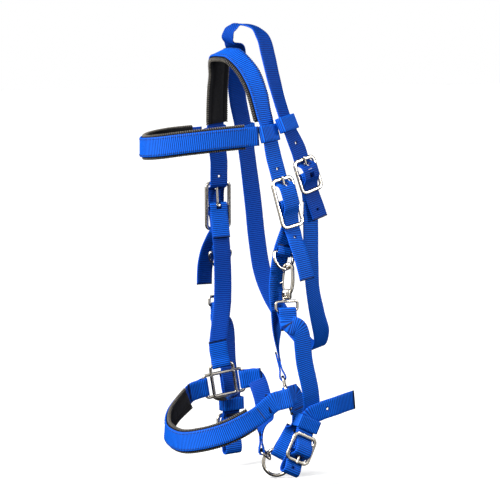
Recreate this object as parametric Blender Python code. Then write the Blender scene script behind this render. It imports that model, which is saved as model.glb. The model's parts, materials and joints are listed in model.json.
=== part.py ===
"""Halter-bridle for a horse: ribbed nylon webbing, padded poll, brow and nose, with buckles,
halter squares, dees, spring snaps and bit hangers. Metres, +Z up, +X the horse's near side,
-Y the front, origin under the poll pad."""

import math

import bmesh
import bpy
import numpy as np

MM = 0.001

# ---- overall sizes, mm
HEAD_HEIGHT = 600.0      # poll to the bottom of the lead ring
HEAD_WIDTH = 216.0       # across the bit hangers
HEAD_DEPTH = 258.0       # front of the noseband to the hanger tip
# ---- webbing and padding, mm
STRAP_WIDTH = 25.0
STRAP_THICK = 2.2
PAD_WIDTH = 31.0
PAD_THICK = 5.0
CHAPE_WIDTH = 22.0
GAP = 0.4                # between layers that touch on the real object
PAD_GAP = 0.9            # between a strap and the pad sewn under it
HOLE_DIA = 4.6           # long hole that a tongue passes
SPARE_HOLE = 3.4         # round adjusting hole
POLL_TILT = 23.0         # degrees that the poll strap leans forward
CURL_RADIUS = 12.6       # loose turn of the throatlatch over the poll
CURL_HIGH = 29.5
CURL_BACK = 19.0
# ---- hardware, mm
BUCKLE_RIM = 5.0         # width of a buckle's rim
BUCKLE_DEEP = 3.8        # thickness of the rim
BAR_DIA = 3.6
CROWN_BUCKLE_HALF = 31.0
THROAT_BUCKLE_HALF = 21.0
HANGER_BUCKLE_HALF = 17.0
BIT_LOOP = 19.0          # how far the bit loop hangs below its buckle
DEE_WIRE = 4.0
EYE_WIRE = 3.6
EYE_DROP = 12.0          # from the eye's top bar to the bar that the strap is folded on
CHAPE_THICK = 1.4
DEE_HALF = 15.5
DEE_DEPTH = 21.0
DEE_SWING = 20.0         # degrees that a dee stands out from the cheek
RING_WIRE = 4.6
RING_RADIUS = 17.5
SQUARE_HALF = 15.5       # middle window's bars, from the centre
SQUARE_REACH = 26.5      # outer bars, from the centre
SQUARE_BAR = 4.6
SQUARE_DEEP = 4.4

SX = HEAD_WIDTH / 216.0
SY = HEAD_DEPTH / 258.0
SZ = HEAD_HEIGHT / 600.0
HALF_T = STRAP_THICK / 2
LAYER = STRAP_THICK - 2.2    # what each layer of thicker webbing adds
BAR_R = BAR_DIA / 2


# ------------------------------------------------------------------ vectors and routes
def vec(*xyz):
    return np.array(xyz, float)


def unit(a):
    a = np.asarray(a, float)
    return a / np.linalg.norm(a)


def at(x, y, z):
    """A point of the harness, following the overall sizes."""
    return vec(x * SX, y * SY, z * SZ)


class Frame:
    """A flat piece's own axes: u along its bars, v up its length, n outward."""

    def __init__(self, origin, up, out):
        self.o = np.asarray(origin, float)
        self.v = unit(up)
        self.n = unit(np.asarray(out, float) - np.dot(out, self.v) * self.v)
        self.u = np.cross(self.v, self.n)

    def point(self, u, v, n):
        return self.o + self.u * u + self.v * v + self.n * n

    def turn(self, u, v, n):
        return self.u * u + self.v * v + self.n * n


def spline(keys, normals, step):
    """Centripetal Catmull-Rom through the keys; the normals are blended along it."""
    keys = [np.asarray(k, float) for k in keys]
    normals = [unit(n) for n in normals]
    first = 2 * keys[0] - keys[1]
    last = 2 * keys[-1] - keys[-2]
    pts = [first] + keys + [last]
    out_p = []
    out_n = []
    for i in range(len(keys) - 1):
        p0, p1, p2, p3 = pts[i : i + 4]
        t1 = math.sqrt(max(np.linalg.norm(p1 - p0), 1e-6))
        t2 = t1 + math.sqrt(max(np.linalg.norm(p2 - p1), 1e-6))
        t3 = t2 + math.sqrt(max(np.linalg.norm(p3 - p2), 1e-6))
        count = max(1, int(round(np.linalg.norm(p2 - p1) / step)))
        for k in range(count):
            f = k / count
            t = t1 + (t2 - t1) * f
            a1 = (t1 - t) / t1 * p0 + t / t1 * p1
            a2 = (t2 - t) / (t2 - t1) * p1 + (t - t1) / (t2 - t1) * p2
            a3 = (t3 - t) / (t3 - t2) * p2 + (t - t2) / (t3 - t2) * p3
            b1 = (t2 - t) / t2 * a1 + t / t2 * a2
            b2 = (t3 - t) / (t3 - t1) * a2 + (t - t1) / (t3 - t1) * a3
            out_p.append((t2 - t) / (t2 - t1) * b1 + (t - t1) / (t2 - t1) * b2)
            smooth = f * f * (3 - 2 * f)
            out_n.append(unit(normals[i] * (1 - smooth) + normals[i + 1] * smooth))
    out_p.append(keys[-1])
    out_n.append(normals[-1])
    return np.array(out_p), np.array(out_n)


class Route:
    """A strap's centre line with its outward direction, built up station by station."""

    def __init__(self):
        self.p = []
        self.n = []

    def add(self, point, normal):
        self.p.append(np.asarray(point, float))
        self.n.append(unit(normal))
        return self

    def add_all(self, stations):
        for point, normal in stations:
            self.add(point, normal)
        return self

    def dense(self, step=9.0):
        return spline(self.p, self.n, step)


def fold(origin, away, out, bar_r, main, tail, thick=STRAP_THICK, side=1.0):
    """Stations of a strap turned round a bar: down the main leg to the bar, round it and back
    along the tail. away points from the bar along the legs; side +1 puts the main leg outside."""
    out = unit(out) * side
    away = unit(away)
    turn = bar_r + GAP + thick / 2
    close = (thick + GAP) / 2
    reach = 3.2 * turn

    def spread(a):
        return close + (turn - close) * 0.5 * (1 + math.cos(math.pi * min(a / reach, 1)))

    legs = [0.25 * reach, 0.5 * reach, 0.75 * reach, reach]
    stations = []
    for a in [main] + [a for a in reversed(legs) if a < main - 2]:
        stations.append((origin + away * a + out * spread(a), out))
    for k in range(7):
        angle = math.pi * k / 6
        radial = -away * math.sin(angle) + out * math.cos(angle)
        stations.append((origin + radial * turn, radial))
    for a in [a for a in legs if a < tail - 2] + [tail]:
        stations.append((origin + away * a - out * spread(a), -out))
    return stations


def fold_on(bar, axis, toward, out_hint, bar_r, main, tail, thick=STRAP_THICK):
    """A fold round a bar of any direction, with the main leg on the hinted side."""
    axis = unit(axis)
    away = np.asarray(toward, float)
    away = unit(away - axis * np.dot(away, axis))
    out = np.cross(axis, away)
    if np.dot(out, out_hint) < 0:
        out = -out
    return fold(bar, away, out, bar_r, main, tail, thick)


def lean_of(half):
    """How far a folded strap leans back from its buckle, to pass under the threaded strap's
    tail behind the end bar."""
    depth = BUCKLE_DEEP / 2 + (STRAP_THICK + GAP) / 2 + GAP + 3 * HALF_T + 1.4
    return math.atan2(depth, half)


def weave(frame, half, sign, upper, lower):
    """Stations of a strap threaded through a three-bar buckle: behind the bar at +v, over the
    folded strap on the centre bar, behind the bar at -v. sign -1 turns it end for end."""
    back = BUCKLE_DEEP / 2 + GAP + HALF_T + 0.5
    over = BAR_R + 3 * HALF_T + 2 * GAP + HALF_T + 0.6
    keys = []
    for v, n in upper:
        keys.append((half + v, -back + n))
    keys += [(half, -back), (half - 2.6, -back + 0.2), (half - 5.5, -0.7)]
    keys += [(half - 8.5, 0.72 * over), (0.36 * half, over + 0.4), (0.0, over)]
    keys += [(-0.25 * half, 0.80 * over), (-0.5 * half, 0.6 + 1.7 * LAYER), (-half, -back)]
    for v, n in lower:
        keys.append((-half - v, -back + n))
    stations = []
    for i, (v, n) in enumerate(keys):
        a = keys[max(i - 1, 0)]
        b = keys[min(i + 1, len(keys) - 1)]
        dv, dn = b[0] - a[0], b[1] - a[1]
        stations.append((frame.point(0, sign * v, n), frame.turn(0, sign * dn, -dv)))
    return stations


# ------------------------------------------------------------------ scene helpers
def material(name, colour, roughness, metallic):
    mat = bpy.data.materials.new(name)
    mat.use_nodes = True
    mat.diffuse_color = (*colour, 1)
    shader = mat.node_tree.nodes["Principled BSDF"]
    shader.inputs["Base Color"].default_value = (*colour, 1)
    shader.inputs["Roughness"].default_value = roughness
    shader.inputs["Metallic"].default_value = metallic
    return mat


for leftover in list(bpy.data.objects):
    bpy.data.objects.remove(leftover)

BLUE = material("blue_webbing", (0.005, 0.085, 0.78), 0.62, 0.0)
BLACK = material("black_padding", (0.012, 0.012, 0.013), 0.85, 0.0)
NICKEL = material("bright_nickel", (0.80, 0.77, 0.72), 0.14, 1.0)


def add_mesh(name, verts, faces, mat, pivot=None, smooth=False):
    """A named object whose origin is its pivot; coordinates come in millimetres."""
    pivot = np.zeros(3) if pivot is None else np.asarray(pivot, float)
    mesh = bpy.data.meshes.new(name)
    mesh.from_pydata([tuple((np.asarray(v) - pivot) * MM) for v in verts], [], faces)
    bm = bmesh.new()
    bm.from_mesh(mesh)
    bmesh.ops.recalc_face_normals(bm, faces=bm.faces)
    if bm.calc_volume(signed=True) < 0:
        bmesh.ops.reverse_faces(bm, faces=bm.faces)
    bm.to_mesh(mesh)
    bm.free()
    mesh.validate()
    if smooth:
        mesh.shade_smooth()
    obj = bpy.data.objects.new(name, mesh)
    obj.location = tuple(pivot * MM)
    obj.data.materials.append(mat)
    bpy.context.scene.collection.objects.link(obj)
    return obj


def as_tool(obj):
    obj.hide_render = True
    obj.display_type = "WIRE"
    return obj


def boolean(obj, tool, operation):
    as_tool(tool)
    mod = obj.modifiers.new(operation.lower(), "BOOLEAN")
    mod.operation = operation
    mod.solver = "EXACT"
    mod.object = tool
    return obj


def skin(rings, closed):
    """Faces that join rings of the same length, with flat caps unless closed."""
    verts = [v for ring in rings for v in ring]
    size = len(rings[0])
    count = len(rings)
    faces = []
    for i in range(count if closed else count - 1):
        a = i * size
        b = (i + 1) % count * size
        for k in range(size):
            m = (k + 1) % size
            faces.append((a + k, a + m, b + m, b + k))
    if not closed:
        faces.append(tuple(range(size - 1, -1, -1)))
        faces.append(tuple((count - 1) * size + k for k in range(size)))
    return verts, faces


def tangents(p, closed=False):
    if closed:
        t = np.roll(p, -1, axis=0) - np.roll(p, 1, axis=0)
    else:
        t = np.gradient(p, axis=0)
    return t / np.linalg.norm(t, axis=1)[:, None]


def sections(p, n, closed=False, flat=()):
    """Width and thickness directions at each station."""
    t = tangents(p, closed)
    n = np.array(n, float)
    for i in flat:
        t[i] = t[i + 1] = unit(p[i + 1] - p[i])
        n[i] = n[i + 1] = unit(n[i] + n[i + 1])
    n = n - t * np.sum(n * t, axis=1)[:, None]
    n = n / np.linalg.norm(n, axis=1)[:, None]
    return np.cross(t, n), n


def ribbon(name, p, n, width, thick, mat, pivot=None, closed=False, flat=(), chamfer=0.0):
    """A webbing strap or a pad: a rectangular section swept along the route."""
    w, n = sections(np.asarray(p), n, closed, flat)
    a, b, c = width / 2, thick / 2, chamfer
    if c:
        profile = [(-a + c, -b), (a - c, -b), (a, -b + c), (a, b - c)]
        profile += [(a - c, b), (-a + c, b), (-a, b - c), (-a, -b + c)]
    else:
        profile = [(-a, -b), (a, -b), (a, b), (-a, b)]
    rings = [[p[i] + w[i] * x + n[i] * y for x, y in profile] for i in range(len(p))]
    verts, faces = skin(rings, closed)
    return add_mesh(name, verts, faces, mat, pivot)


def tube(name, path, flat_dir, wide, deep, mat, pivot=None, closed=True, sides=8):
    """A wire of oval section; deep is its size along flat_dir, wide across it."""
    p = np.array(path, float)
    flat = np.array([flat_dir] * len(p), float)
    w, n = sections(p, flat, closed)
    rings = []
    for i in range(len(p)):
        ring = []
        for k in range(sides):
            angle = 2 * math.pi * (k + 0.5) / sides
            ring.append(p[i] + w[i] * wide / 2 * math.cos(angle) + n[i] * deep / 2 * math.sin(angle))
        rings.append(ring)
    verts, faces = skin(rings, closed)
    return add_mesh(name, verts, faces, mat, pivot, True)


def rod(name, start, end, radius, mat, pivot=None, sides=12, radius_end=None):
    """A round bar between two points."""
    start = np.asarray(start, float)
    end = np.asarray(end, float)
    axis = unit(end - start)
    side = unit(np.cross(axis, vec(0.31, 0.52, 0.79)))
    other = np.cross(axis, side)
    rings = []
    for point, r in ((start, radius), (end, radius if radius_end is None else radius_end)):
        angles = [2 * math.pi * k / sides for k in range(sides)]
        rings.append([point + (side * math.cos(a) + other * math.sin(a)) * r for a in angles])
    verts, faces = skin(rings, False)
    return add_mesh(name, verts, faces, mat, pivot, True)


def block(name, frame, low, high, mat, pivot=None):
    """A box between two corners given in a frame's axes."""
    corners = []
    for n in (low[2], high[2]):
        for v in (low[1], high[1]):
            for u in (low[0], high[0]):
                corners.append(frame.point(u, v, n))
    faces = [(0, 2, 3, 1), (4, 5, 7, 6), (0, 1, 5, 4), (2, 6, 7, 3), (0, 4, 6, 2), (1, 3, 7, 5)]
    return add_mesh(name, corners, faces, mat, pivot)


def rounded_rect(half_u, half_v, corner, count=3):
    """Corner points of a rounded rectangle, going round once."""
    points = []
    for su, sv, start in ((1, 1, 0), (-1, 1, 90), (-1, -1, 180), (1, -1, 270)):
        for k in range(count + 1):
            angle = math.radians(start + 90 * k / count)
            points.append(
                (
                    su * (half_u - corner) + corner * math.cos(angle),
                    sv * (half_v - corner) + corner * math.sin(angle),
                )
            )
    return points


def punch(obj, point, axis, dia=HOLE_DIA, long=0.0, along=None, depth=14.0):
    """A round or long hole through a strap."""
    axis = unit(axis)
    along = unit(np.cross(axis, vec(0.2, 0.3, 0.9))) if along is None else unit(along)
    along = unit(along - axis * np.dot(along, axis))
    side = np.cross(axis, along)
    outline = []
    for k in range(12):
        angle = 2 * math.pi * (k + 0.5) / 12
        shift = long / 2 if math.cos(angle) > 0 else -long / 2
        outline.append(along * (dia / 2 * math.cos(angle) + shift) + side * dia / 2 * math.sin(angle))
    rings = []
    for s in (-1, 1):
        rings.append([point + axis * s * depth / 2 + o for o in outline])
    verts, faces = skin(rings, False)
    tool = add_mesh(obj.name + "_punch", verts, faces, BLACK)
    return boolean(obj, tool, "DIFFERENCE")


# ------------------------------------------------------------------ hardware
def buckle(side, frame, half, tongue_sign, slack=1.5):
    """A three-bar buckle frame, and its tongue on the centre bar. The tongue rests on the bar
    at +v (tongue_sign +1) or at -v."""
    inner = STRAP_WIDTH / 2 + slack
    path = rounded_rect(inner + BUCKLE_RIM / 2, half, 6.0)
    points = [frame.point(u, v, 0) for u, v in path]
    rim = tube(side + "_frame", points, frame.n, BUCKLE_RIM, BUCKLE_DEEP, NICKEL, frame.o)
    reach = inner + BUCKLE_RIM / 2
    bar = rod(side + "_bar", frame.point(-reach, 0, 0), frame.point(reach, 0, 0), BAR_R, NICKEL)
    boolean(rim, bar, "UNION")
    bore = BAR_R + 0.25
    wall = bore + 1.5
    rings = []
    for r, u in ((bore, -2.6), (wall, -2.6), (wall, 2.6), (bore, 2.6)):
        ring = []
        for k in range(16):
            angle = 2 * math.pi * (k + 0.5) / 16
            ring.append(frame.point(u, r * math.cos(angle), r * math.sin(angle)))
        rings.append(ring)
    verts, faces = skin(rings, True)
    collar = add_mesh(side + "_tongue", verts, faces, NICKEL, frame.o, True)
    rest = BUCKLE_DEEP / 2 + 0.35 + 1.3
    start = frame.point(0, tongue_sign * (bore + 0.55), 0.3)
    middle = frame.point(0, tongue_sign * 0.5 * half, rest * 0.55)
    end = frame.point(0, tongue_sign * (half + BUCKLE_RIM / 2 + 1.0), rest + 0.1)
    pin = tube(side + "_pin", [start, middle, end], frame.n, 3.2, 2.6, NICKEL, None, False)
    boolean(collar, pin, "UNION")
    return rim, collar


def slot_for_tongue(strap, frame, sign):
    """The slot in a folded strap that lets the tongue turn on its bar."""
    top = BAR_R + STRAP_THICK + 3.5
    low, high = (-3.7, -4.4), (3.7, top)
    if sign < 0:
        low, high = (-3.7, -top), (3.7, 4.4)
    tool = block(strap.name + "_slot", frame, (*low, -9.0), (*high, 9.0), BLACK)
    return boolean(strap, tool, "DIFFERENCE")


def square(name, frame):
    """A cast halter square: a middle window, a slot on three sides and a thick lower edge."""
    h, r, c = SQUARE_HALF, SQUARE_REACH, 3.0
    core = tube(name, [frame.point(u, v, 0) for u, v in rounded_rect(h, h, c)], frame.n,
                SQUARE_BAR, SQUARE_DEEP, NICKEL)
    # each staple differs a little, so that no two faces of the casting lie in one plane
    for label, swap, sign, size in (("top", 1, 1, 0.94), ("front", 0, -1, 0.90),
                                    ("rear", 0, 1, 0.92)):
        side = h + 3.0 * (0.94 - size)
        legs = [(-side, h - 1.3), (-side, r - 4), (-side + 1.2, r - 1.2), (-side + 4, r)]
        legs += [(side - 4, r), (side - 1.2, r - 1.2), (side, r - 4), (side, h - 1.3)]
        points = []
        for along, out in legs:
            u, v = (along, out * sign) if swap else (out * sign, along)
            points.append(frame.point(u, v, 0))
        staple = tube(f"{name}_{label}", points, frame.n, SQUARE_BAR * size,
                      SQUARE_DEEP * (size - 0.04), NICKEL, None, False)
        boolean(core, staple, "UNION")
    outline = []
    for k in range(9):
        angle = math.pi * (1.02 + 0.96 * k / 8)
        outline.append(((h + 3.2) * math.cos(angle), -h + 0.5 + 9.0 * math.sin(angle)))
    rings = []
    for n in (-SQUARE_DEEP * 0.41, SQUARE_DEEP * 0.41):
        rings.append([frame.point(u, v, n) for u, v in outline])
    verts, faces = skin(rings, False)
    foot = add_mesh(name + "_foot", verts, faces, NICKEL)
    boolean(core, foot, "UNION")
    return core


def dee(name, frame, half_u, depth):
    """A dee: straight bar along u at the origin, round side hanging down -v."""
    c = 3.0
    path = [(-half_u + c, 0), (half_u - c, 0), (half_u - 0.8, -0.8), (half_u, -c)]
    for k in range(9):
        angle = math.pi * k / 8
        path.append((half_u * math.cos(angle), -c - 1 - (depth - c - 1) * math.sin(angle)))
    path += [(-half_u, -c), (-half_u + 0.8, -0.8)]
    points = [frame.point(u, v, 0) for u, v in path]
    return tube(name, points, frame.n, DEE_WIRE, DEE_WIRE, NICKEL, frame.o)


def snap(side, hook, eye_frame):
    """A spring snap: hook body, sprung gate and swivelling strap eye. hook's origin is the
    bottom middle of its barrel."""
    path = [(4.6, 8.0), (7.2, 14), (8.4, 22), (8.4, 32), (8.2, 38)]
    for k in range(1, 8):
        angle = math.pi * k / 8
        path.append((2.2 + 6.2 * math.cos(angle), 39.5 + 6.2 * math.sin(angle)))
    path += [(-4.0, 38.5), (-3.9, 35.8)]
    points = [hook.point(u, v, 0) for u, v in path]
    top = hook.point(2.2, 40.2, 0)
    body = tube(side + "_snap_body", points, hook.n, 4.4, 5.2, NICKEL, top, False)
    barrel = block(side + "_snap_barrel", hook, (-6.2, 0, -5.0), (6.2, 13.0, 5.0), NICKEL)
    boolean(body, barrel, "UNION")
    pocket = block(side + "_snap_pocket", hook, (-4.4, 3.2, -8.0), (4.4, 8.6, 8.0), NICKEL)
    boolean(body, pocket, "DIFFERENCE")
    bore = rod(side + "_snap_bore", hook.point(0, -2, 0), hook.point(0, 5, 0), 2.3, NICKEL)
    boolean(body, bore, "DIFFERENCE")
    slit = block(side + "_snap_slit", hook, (-8.0, 10.4, -1.7), (-1.2, 15.0, 1.7), NICKEL)
    boolean(body, slit, "DIFFERENCE")
    pivot = hook.point(-4.0, 12.4, 0)
    gate_path = [(-3.6, 11.6), (-4.6, 16), (-4.9, 24), (-4.4, 30), (-3.9, 34.9)]
    gate = tube(side + "_snap_gate", [hook.point(u, v, 0) for u, v in gate_path], hook.n,
                2.6, 2.6, NICKEL, pivot, False)
    stud = rod(side + "_snap_stud", hook.point(-4.8, 22, 0), hook.point(-9.2, 20.5, 0), 1.5,
               NICKEL, None, 10)
    boolean(gate, stud, "UNION")
    half = STRAP_WIDTH / 2 + 1.3 + EYE_WIRE / 2
    path = rounded_rect(half, EYE_DROP / 2, 3.2)
    points = [eye_frame.point(u, v - EYE_DROP / 2, 0) for u, v in path]
    eye = tube(side + "_snap_eye", points, eye_frame.n, EYE_WIRE, EYE_WIRE, NICKEL, eye_frame.o)
    stem = rod(side + "_snap_stem", eye_frame.point(0, 0, 0), hook.point(0, 5.2, 0), 1.9, NICKEL)
    boolean(eye, stem, "UNION")
    head = rod(side + "_snap_head", hook.point(0, 4.4, 0), hook.point(0, 7.4, 0), 3.5, NICKEL)
    boolean(eye, head, "UNION")
    return body, gate, eye


# ------------------------------------------------------------------ where the hardware sits
NEAR_CROWN = Frame(at(90, 39.6, -185.5), (-0.154, -0.20, 0.969), (1.0, 0.16, 0.0))
FAR_CROWN = Frame(at(-90, 38, -200), (0.10, -0.06, 0.99), (-1.0, 0.10, 0.0))
THROAT = Frame(at(86, 72.7, -151), (-0.10, -0.28, 0.95), (1.0, 0.18, 0.0))
NEAR_SQUARE = Frame(at(74, 50, -440.5), (-0.20, -0.16, 0.96), (0.50, 0.866, 0.0))
FAR_SQUARE = Frame(at(-76, 39.4, -439.5), (0.05, -0.2, 0.97), (-0.96, 0.30, 0.0))
NEAR_HANGER = Frame(at(108, 50, -503), (0.02, 0.42, 0.90), (1.0, 0.0, 0.0))
FAR_HANGER = Frame(at(-103, 62.5, -504), (0.0, -0.05, 1.0), (-1.0, 0.0, 0.0))


# ------------------------------------------------------------------ poll strap and its pad
def crown_route():
    tilt = math.radians(POLL_TILT)
    lean = vec(0, -math.sin(tilt), math.cos(tilt))
    top = lean * (PAD_THICK + PAD_GAP + HALF_T)
    route = Route()
    threaded = weave(FAR_CROWN, CROWN_BUCKLE_HALF, 1.0, [(30, -0.2), (14, 0.0)],
                     [(5, 0.3)])
    tip = [at(-110, 28, -308), at(-108.5, 28.5, -282), at(-104, 31, -262), at(-98.5, 34, -250)]
    for point in tip:
        route.add(point, (-1.0, -0.12, -0.3))
    route.add(at(-93.5, 37, -242), (-1.0, 0.0, -0.3))
    route.add_all(reversed(threaded))
    route.add(at(-76, 27, -104), (-0.97, 0.04, 0.2))
    route.add(at(-68, 22, -74), (-0.97, 0.0, 0.28))
    route.add(at(-56, 16, -42), (-0.9, -0.08, 0.46))
    route.add(at(-40, 9, -15), (-0.62, -0.25, 0.78))
    route.add(at(-22, 2, -2.2) + top, (-0.25, -0.38, 0.9))
    route.add(vec(-6, 0, 0) + top, lean)
    route.add(vec(6, 0, 0) + top, lean)
    route.add(at(22, 2, -2.2) + top, (0.25, -0.38, 0.9))
    route.add(at(42, 9, -15), (0.62, -0.25, 0.78))
    route.add(at(57, 15, -42), (0.9, -0.02, 0.46))
    route.add(at(66, 18, -70), (0.95, 0.14, 0.3))
    route.add(at(73, 22, -97), (0.95, 0.26, 0.2))
    route.add_all(weave(NEAR_CROWN, CROWN_BUCKLE_HALF, 1.0, [(30, -0.2), (14, 0.0)], [(9, 0.0)]))
    for point in (at(98.5, 47.5, -236), at(104, 50, -250), at(109, 53, -267), at(112, 56, -284)):
        route.add(point, (0.97, 0.18, 0.28))
    return route


def nearest(p, point):
    return int(np.argmin(np.linalg.norm(p - point, axis=1)))


def pad(name, p, n, start, end, flat=()):
    """Padding sewn under a strap: its own thick, soft-edged section on the strap's stations."""
    w, m = sections(p, n, False, flat)
    a, b, c = PAD_WIDTH / 2, PAD_THICK / 2, 1.4
    middle = -(HALF_T + PAD_GAP + PAD_THICK / 2)
    profile = [(-a + c, -b), (a - c, -b), (a, -b + c), (a, b - c)]
    profile += [(a - c, b), (-a + c, b), (-a, b - c), (-a, -b + c)]
    rings = []
    for i in range(start, end):
        rings.append([p[i] + w[i] * x + m[i] * (y + middle) for x, y in profile])
    verts, faces = skin(rings, False)
    return add_mesh(name, verts, faces, BLACK)


def station(p, n, point):
    """Centre, tangent and outward direction of a route, nearest to a point."""
    i = nearest(p, point)
    w, m = sections(p, n)
    return p[i], tangents(p)[i], m[i]


crown_p, crown_n = crown_route().dense()
apex = int(np.argmin(np.abs(crown_p[:, 0] + 6) + 1000 * (crown_p[:, 2] < -20)))
crown_strap = ribbon("crown_strap", crown_p, crown_n, STRAP_WIDTH, STRAP_THICK, BLUE, None,
                     False, (apex,))
pad_from = nearest(crown_p, at(-72, 24, -88))
pad_to = nearest(crown_p, at(69, 19.5, -81)) + 1
crown_pad = pad("crown_pad", crown_p, crown_n, pad_from, pad_to, (apex,))


# ------------------------------------------------------------------ cheek straps
def cheek_route(frame, keys, end_frame, end_side):
    """Folded on the buckle's centre bar at the top and on the square's top bar below."""
    lean = lean_of(CROWN_BUCKLE_HALF)
    away = frame.turn(0, -math.cos(lean), -math.sin(lean))
    start = fold(frame.o, away, frame.turn(0, -math.sin(lean), math.cos(lean)), BAR_R, 26.0, 44.0)
    route = Route()
    route.add_all(reversed(start))
    for point, normal in keys:
        route.add(point, normal)
    bar = end_frame.point(0, SQUARE_REACH, 0)
    end = fold(bar, end_frame.v, end_frame.n, SQUARE_BAR * 0.94 / 2, 24.0, 34.0,
               STRAP_THICK, end_side)
    route.add_all(end)
    return route


def strap(name, route, step=9.0):
    p, n = route.dense(step)
    return ribbon(name, p, n, STRAP_WIDTH, STRAP_THICK, BLUE), p, n


near_keys = [
    (at(88.5, 31, -250), (0.98, 0.12, 0.1)),
    (at(86, 25.5, -290), (0.97, 0.2, 0.0)),
    (at(82, 29, -335), (0.9, 0.42, 0.0)),
]
far_keys = [
    (at(-85, 41.5, -262), (-1.0, 0.08, 0.0)),
    (at(-86, 43, -326), (-1.0, 0.16, 0.0)),
]
near_cheek, near_cheek_p, near_cheek_n = strap(
    "near_cheek_strap", cheek_route(NEAR_CROWN, near_keys, NEAR_SQUARE, 1.0))
far_cheek, far_cheek_p, far_cheek_n = strap(
    "far_cheek_strap", cheek_route(FAR_CROWN, far_keys, FAR_SQUARE, 1.0))

near_square = square("near_square", NEAR_SQUARE)
far_square = square("far_square", FAR_SQUARE)

near_crown_frame, near_crown_tongue = buckle("near_crown_buckle", NEAR_CROWN, CROWN_BUCKLE_HALF, 1)
far_crown_frame, far_crown_tongue = buckle("far_crown_buckle", FAR_CROWN, CROWN_BUCKLE_HALF, 1)
slot_for_tongue(near_cheek, NEAR_CROWN, 1)
slot_for_tongue(far_cheek, FAR_CROWN, 1)


def tongue_hole(strap_obj, frame, half, sign):
    """The long hole where a tongue passes through the threaded strap, close to the top bar."""
    punch(strap_obj, frame.point(0, sign * (half - 7.0), 3.0), frame.turn(0, sign * 0.86, 0.51),
          4.6, 5.5, frame.turn(0, -sign * 0.51, 0.86), 12.0)


def punch_row(strap_obj, p, n, spots):
    """Spare adjusting holes, punched through a strap at the nearest stations."""
    for spot in spots:
        c, t, m = station(p, n, spot)
        punch(strap_obj, c, m, SPARE_HOLE)


tongue_hole(crown_strap, NEAR_CROWN, CROWN_BUCKLE_HALF, 1)
tongue_hole(crown_strap, FAR_CROWN, CROWN_BUCKLE_HALF, 1)
punch_row(crown_strap, crown_p, crown_n,
          (at(80, 30, -142), at(-82, 32, -160), at(97, 45.5, -230), at(-95, 36, -243)))


# ------------------------------------------------------------------ browband and its loops
def strap_loop(name, centre, along, out, half_u, half_n, width=22.0, pivot=None):
    """A closed webbing loop round a strap that runs along the given direction."""
    frame = Frame(centre, along, out)
    grow = GAP + HALF_T
    path = rounded_rect(half_u + grow, half_n + grow, HALF_T + 0.9)
    points = np.array([frame.point(u, 0, n) for u, n in path])
    normals = points - frame.o
    for i, (u, n) in enumerate(path):
        cu = max(abs(u) - (half_u + grow - 2.0), 0) * np.sign(u)
        cn = max(abs(n) - (half_n + grow - 2.0), 0) * np.sign(n)
        normals[i] = frame.turn(cu, 0, cn)
    return ribbon(name, points, normals, width, STRAP_THICK, BLUE, pivot, True)


brow = Route()
for degrees, drop in ((0, 0), (25, 4), (50, 9), (70, 13), (90, 15), (110, 15), (130, 12), (155, 8),
                      (180, 5)):
    angle = math.radians(degrees)
    across = 75.0 + 1.0 * math.cos(angle)
    brow.add(at(across * math.cos(angle), 5 - 125 * math.sin(angle), -100 - drop),
             (math.cos(angle), -0.62 * math.sin(angle), 0))
brow_p, brow_n = brow.dense(10.0)
browband = ribbon("browband_strap", brow_p, brow_n, STRAP_WIDTH, STRAP_THICK, BLUE)
browband_pad = pad("browband_pad", brow_p, brow_n, 2, len(brow_p) - 2)

LOOP_SLACK = 0.5
near_at = station(crown_p, crown_n, at(73, 22, -98))
far_at = station(crown_p, crown_n, at(-76, 27, -106))
strap_loop("near_browband_front_loop", near_at[0], -near_at[1], near_at[2],
           STRAP_WIDTH / 2 + LOOP_SLACK, HALF_T + LOOP_SLACK + 0.2)
strap_loop("far_browband_front_loop", far_at[0], far_at[1], far_at[2],
           STRAP_WIDTH / 2 + LOOP_SLACK, HALF_T + LOOP_SLACK + 0.2)


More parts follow.
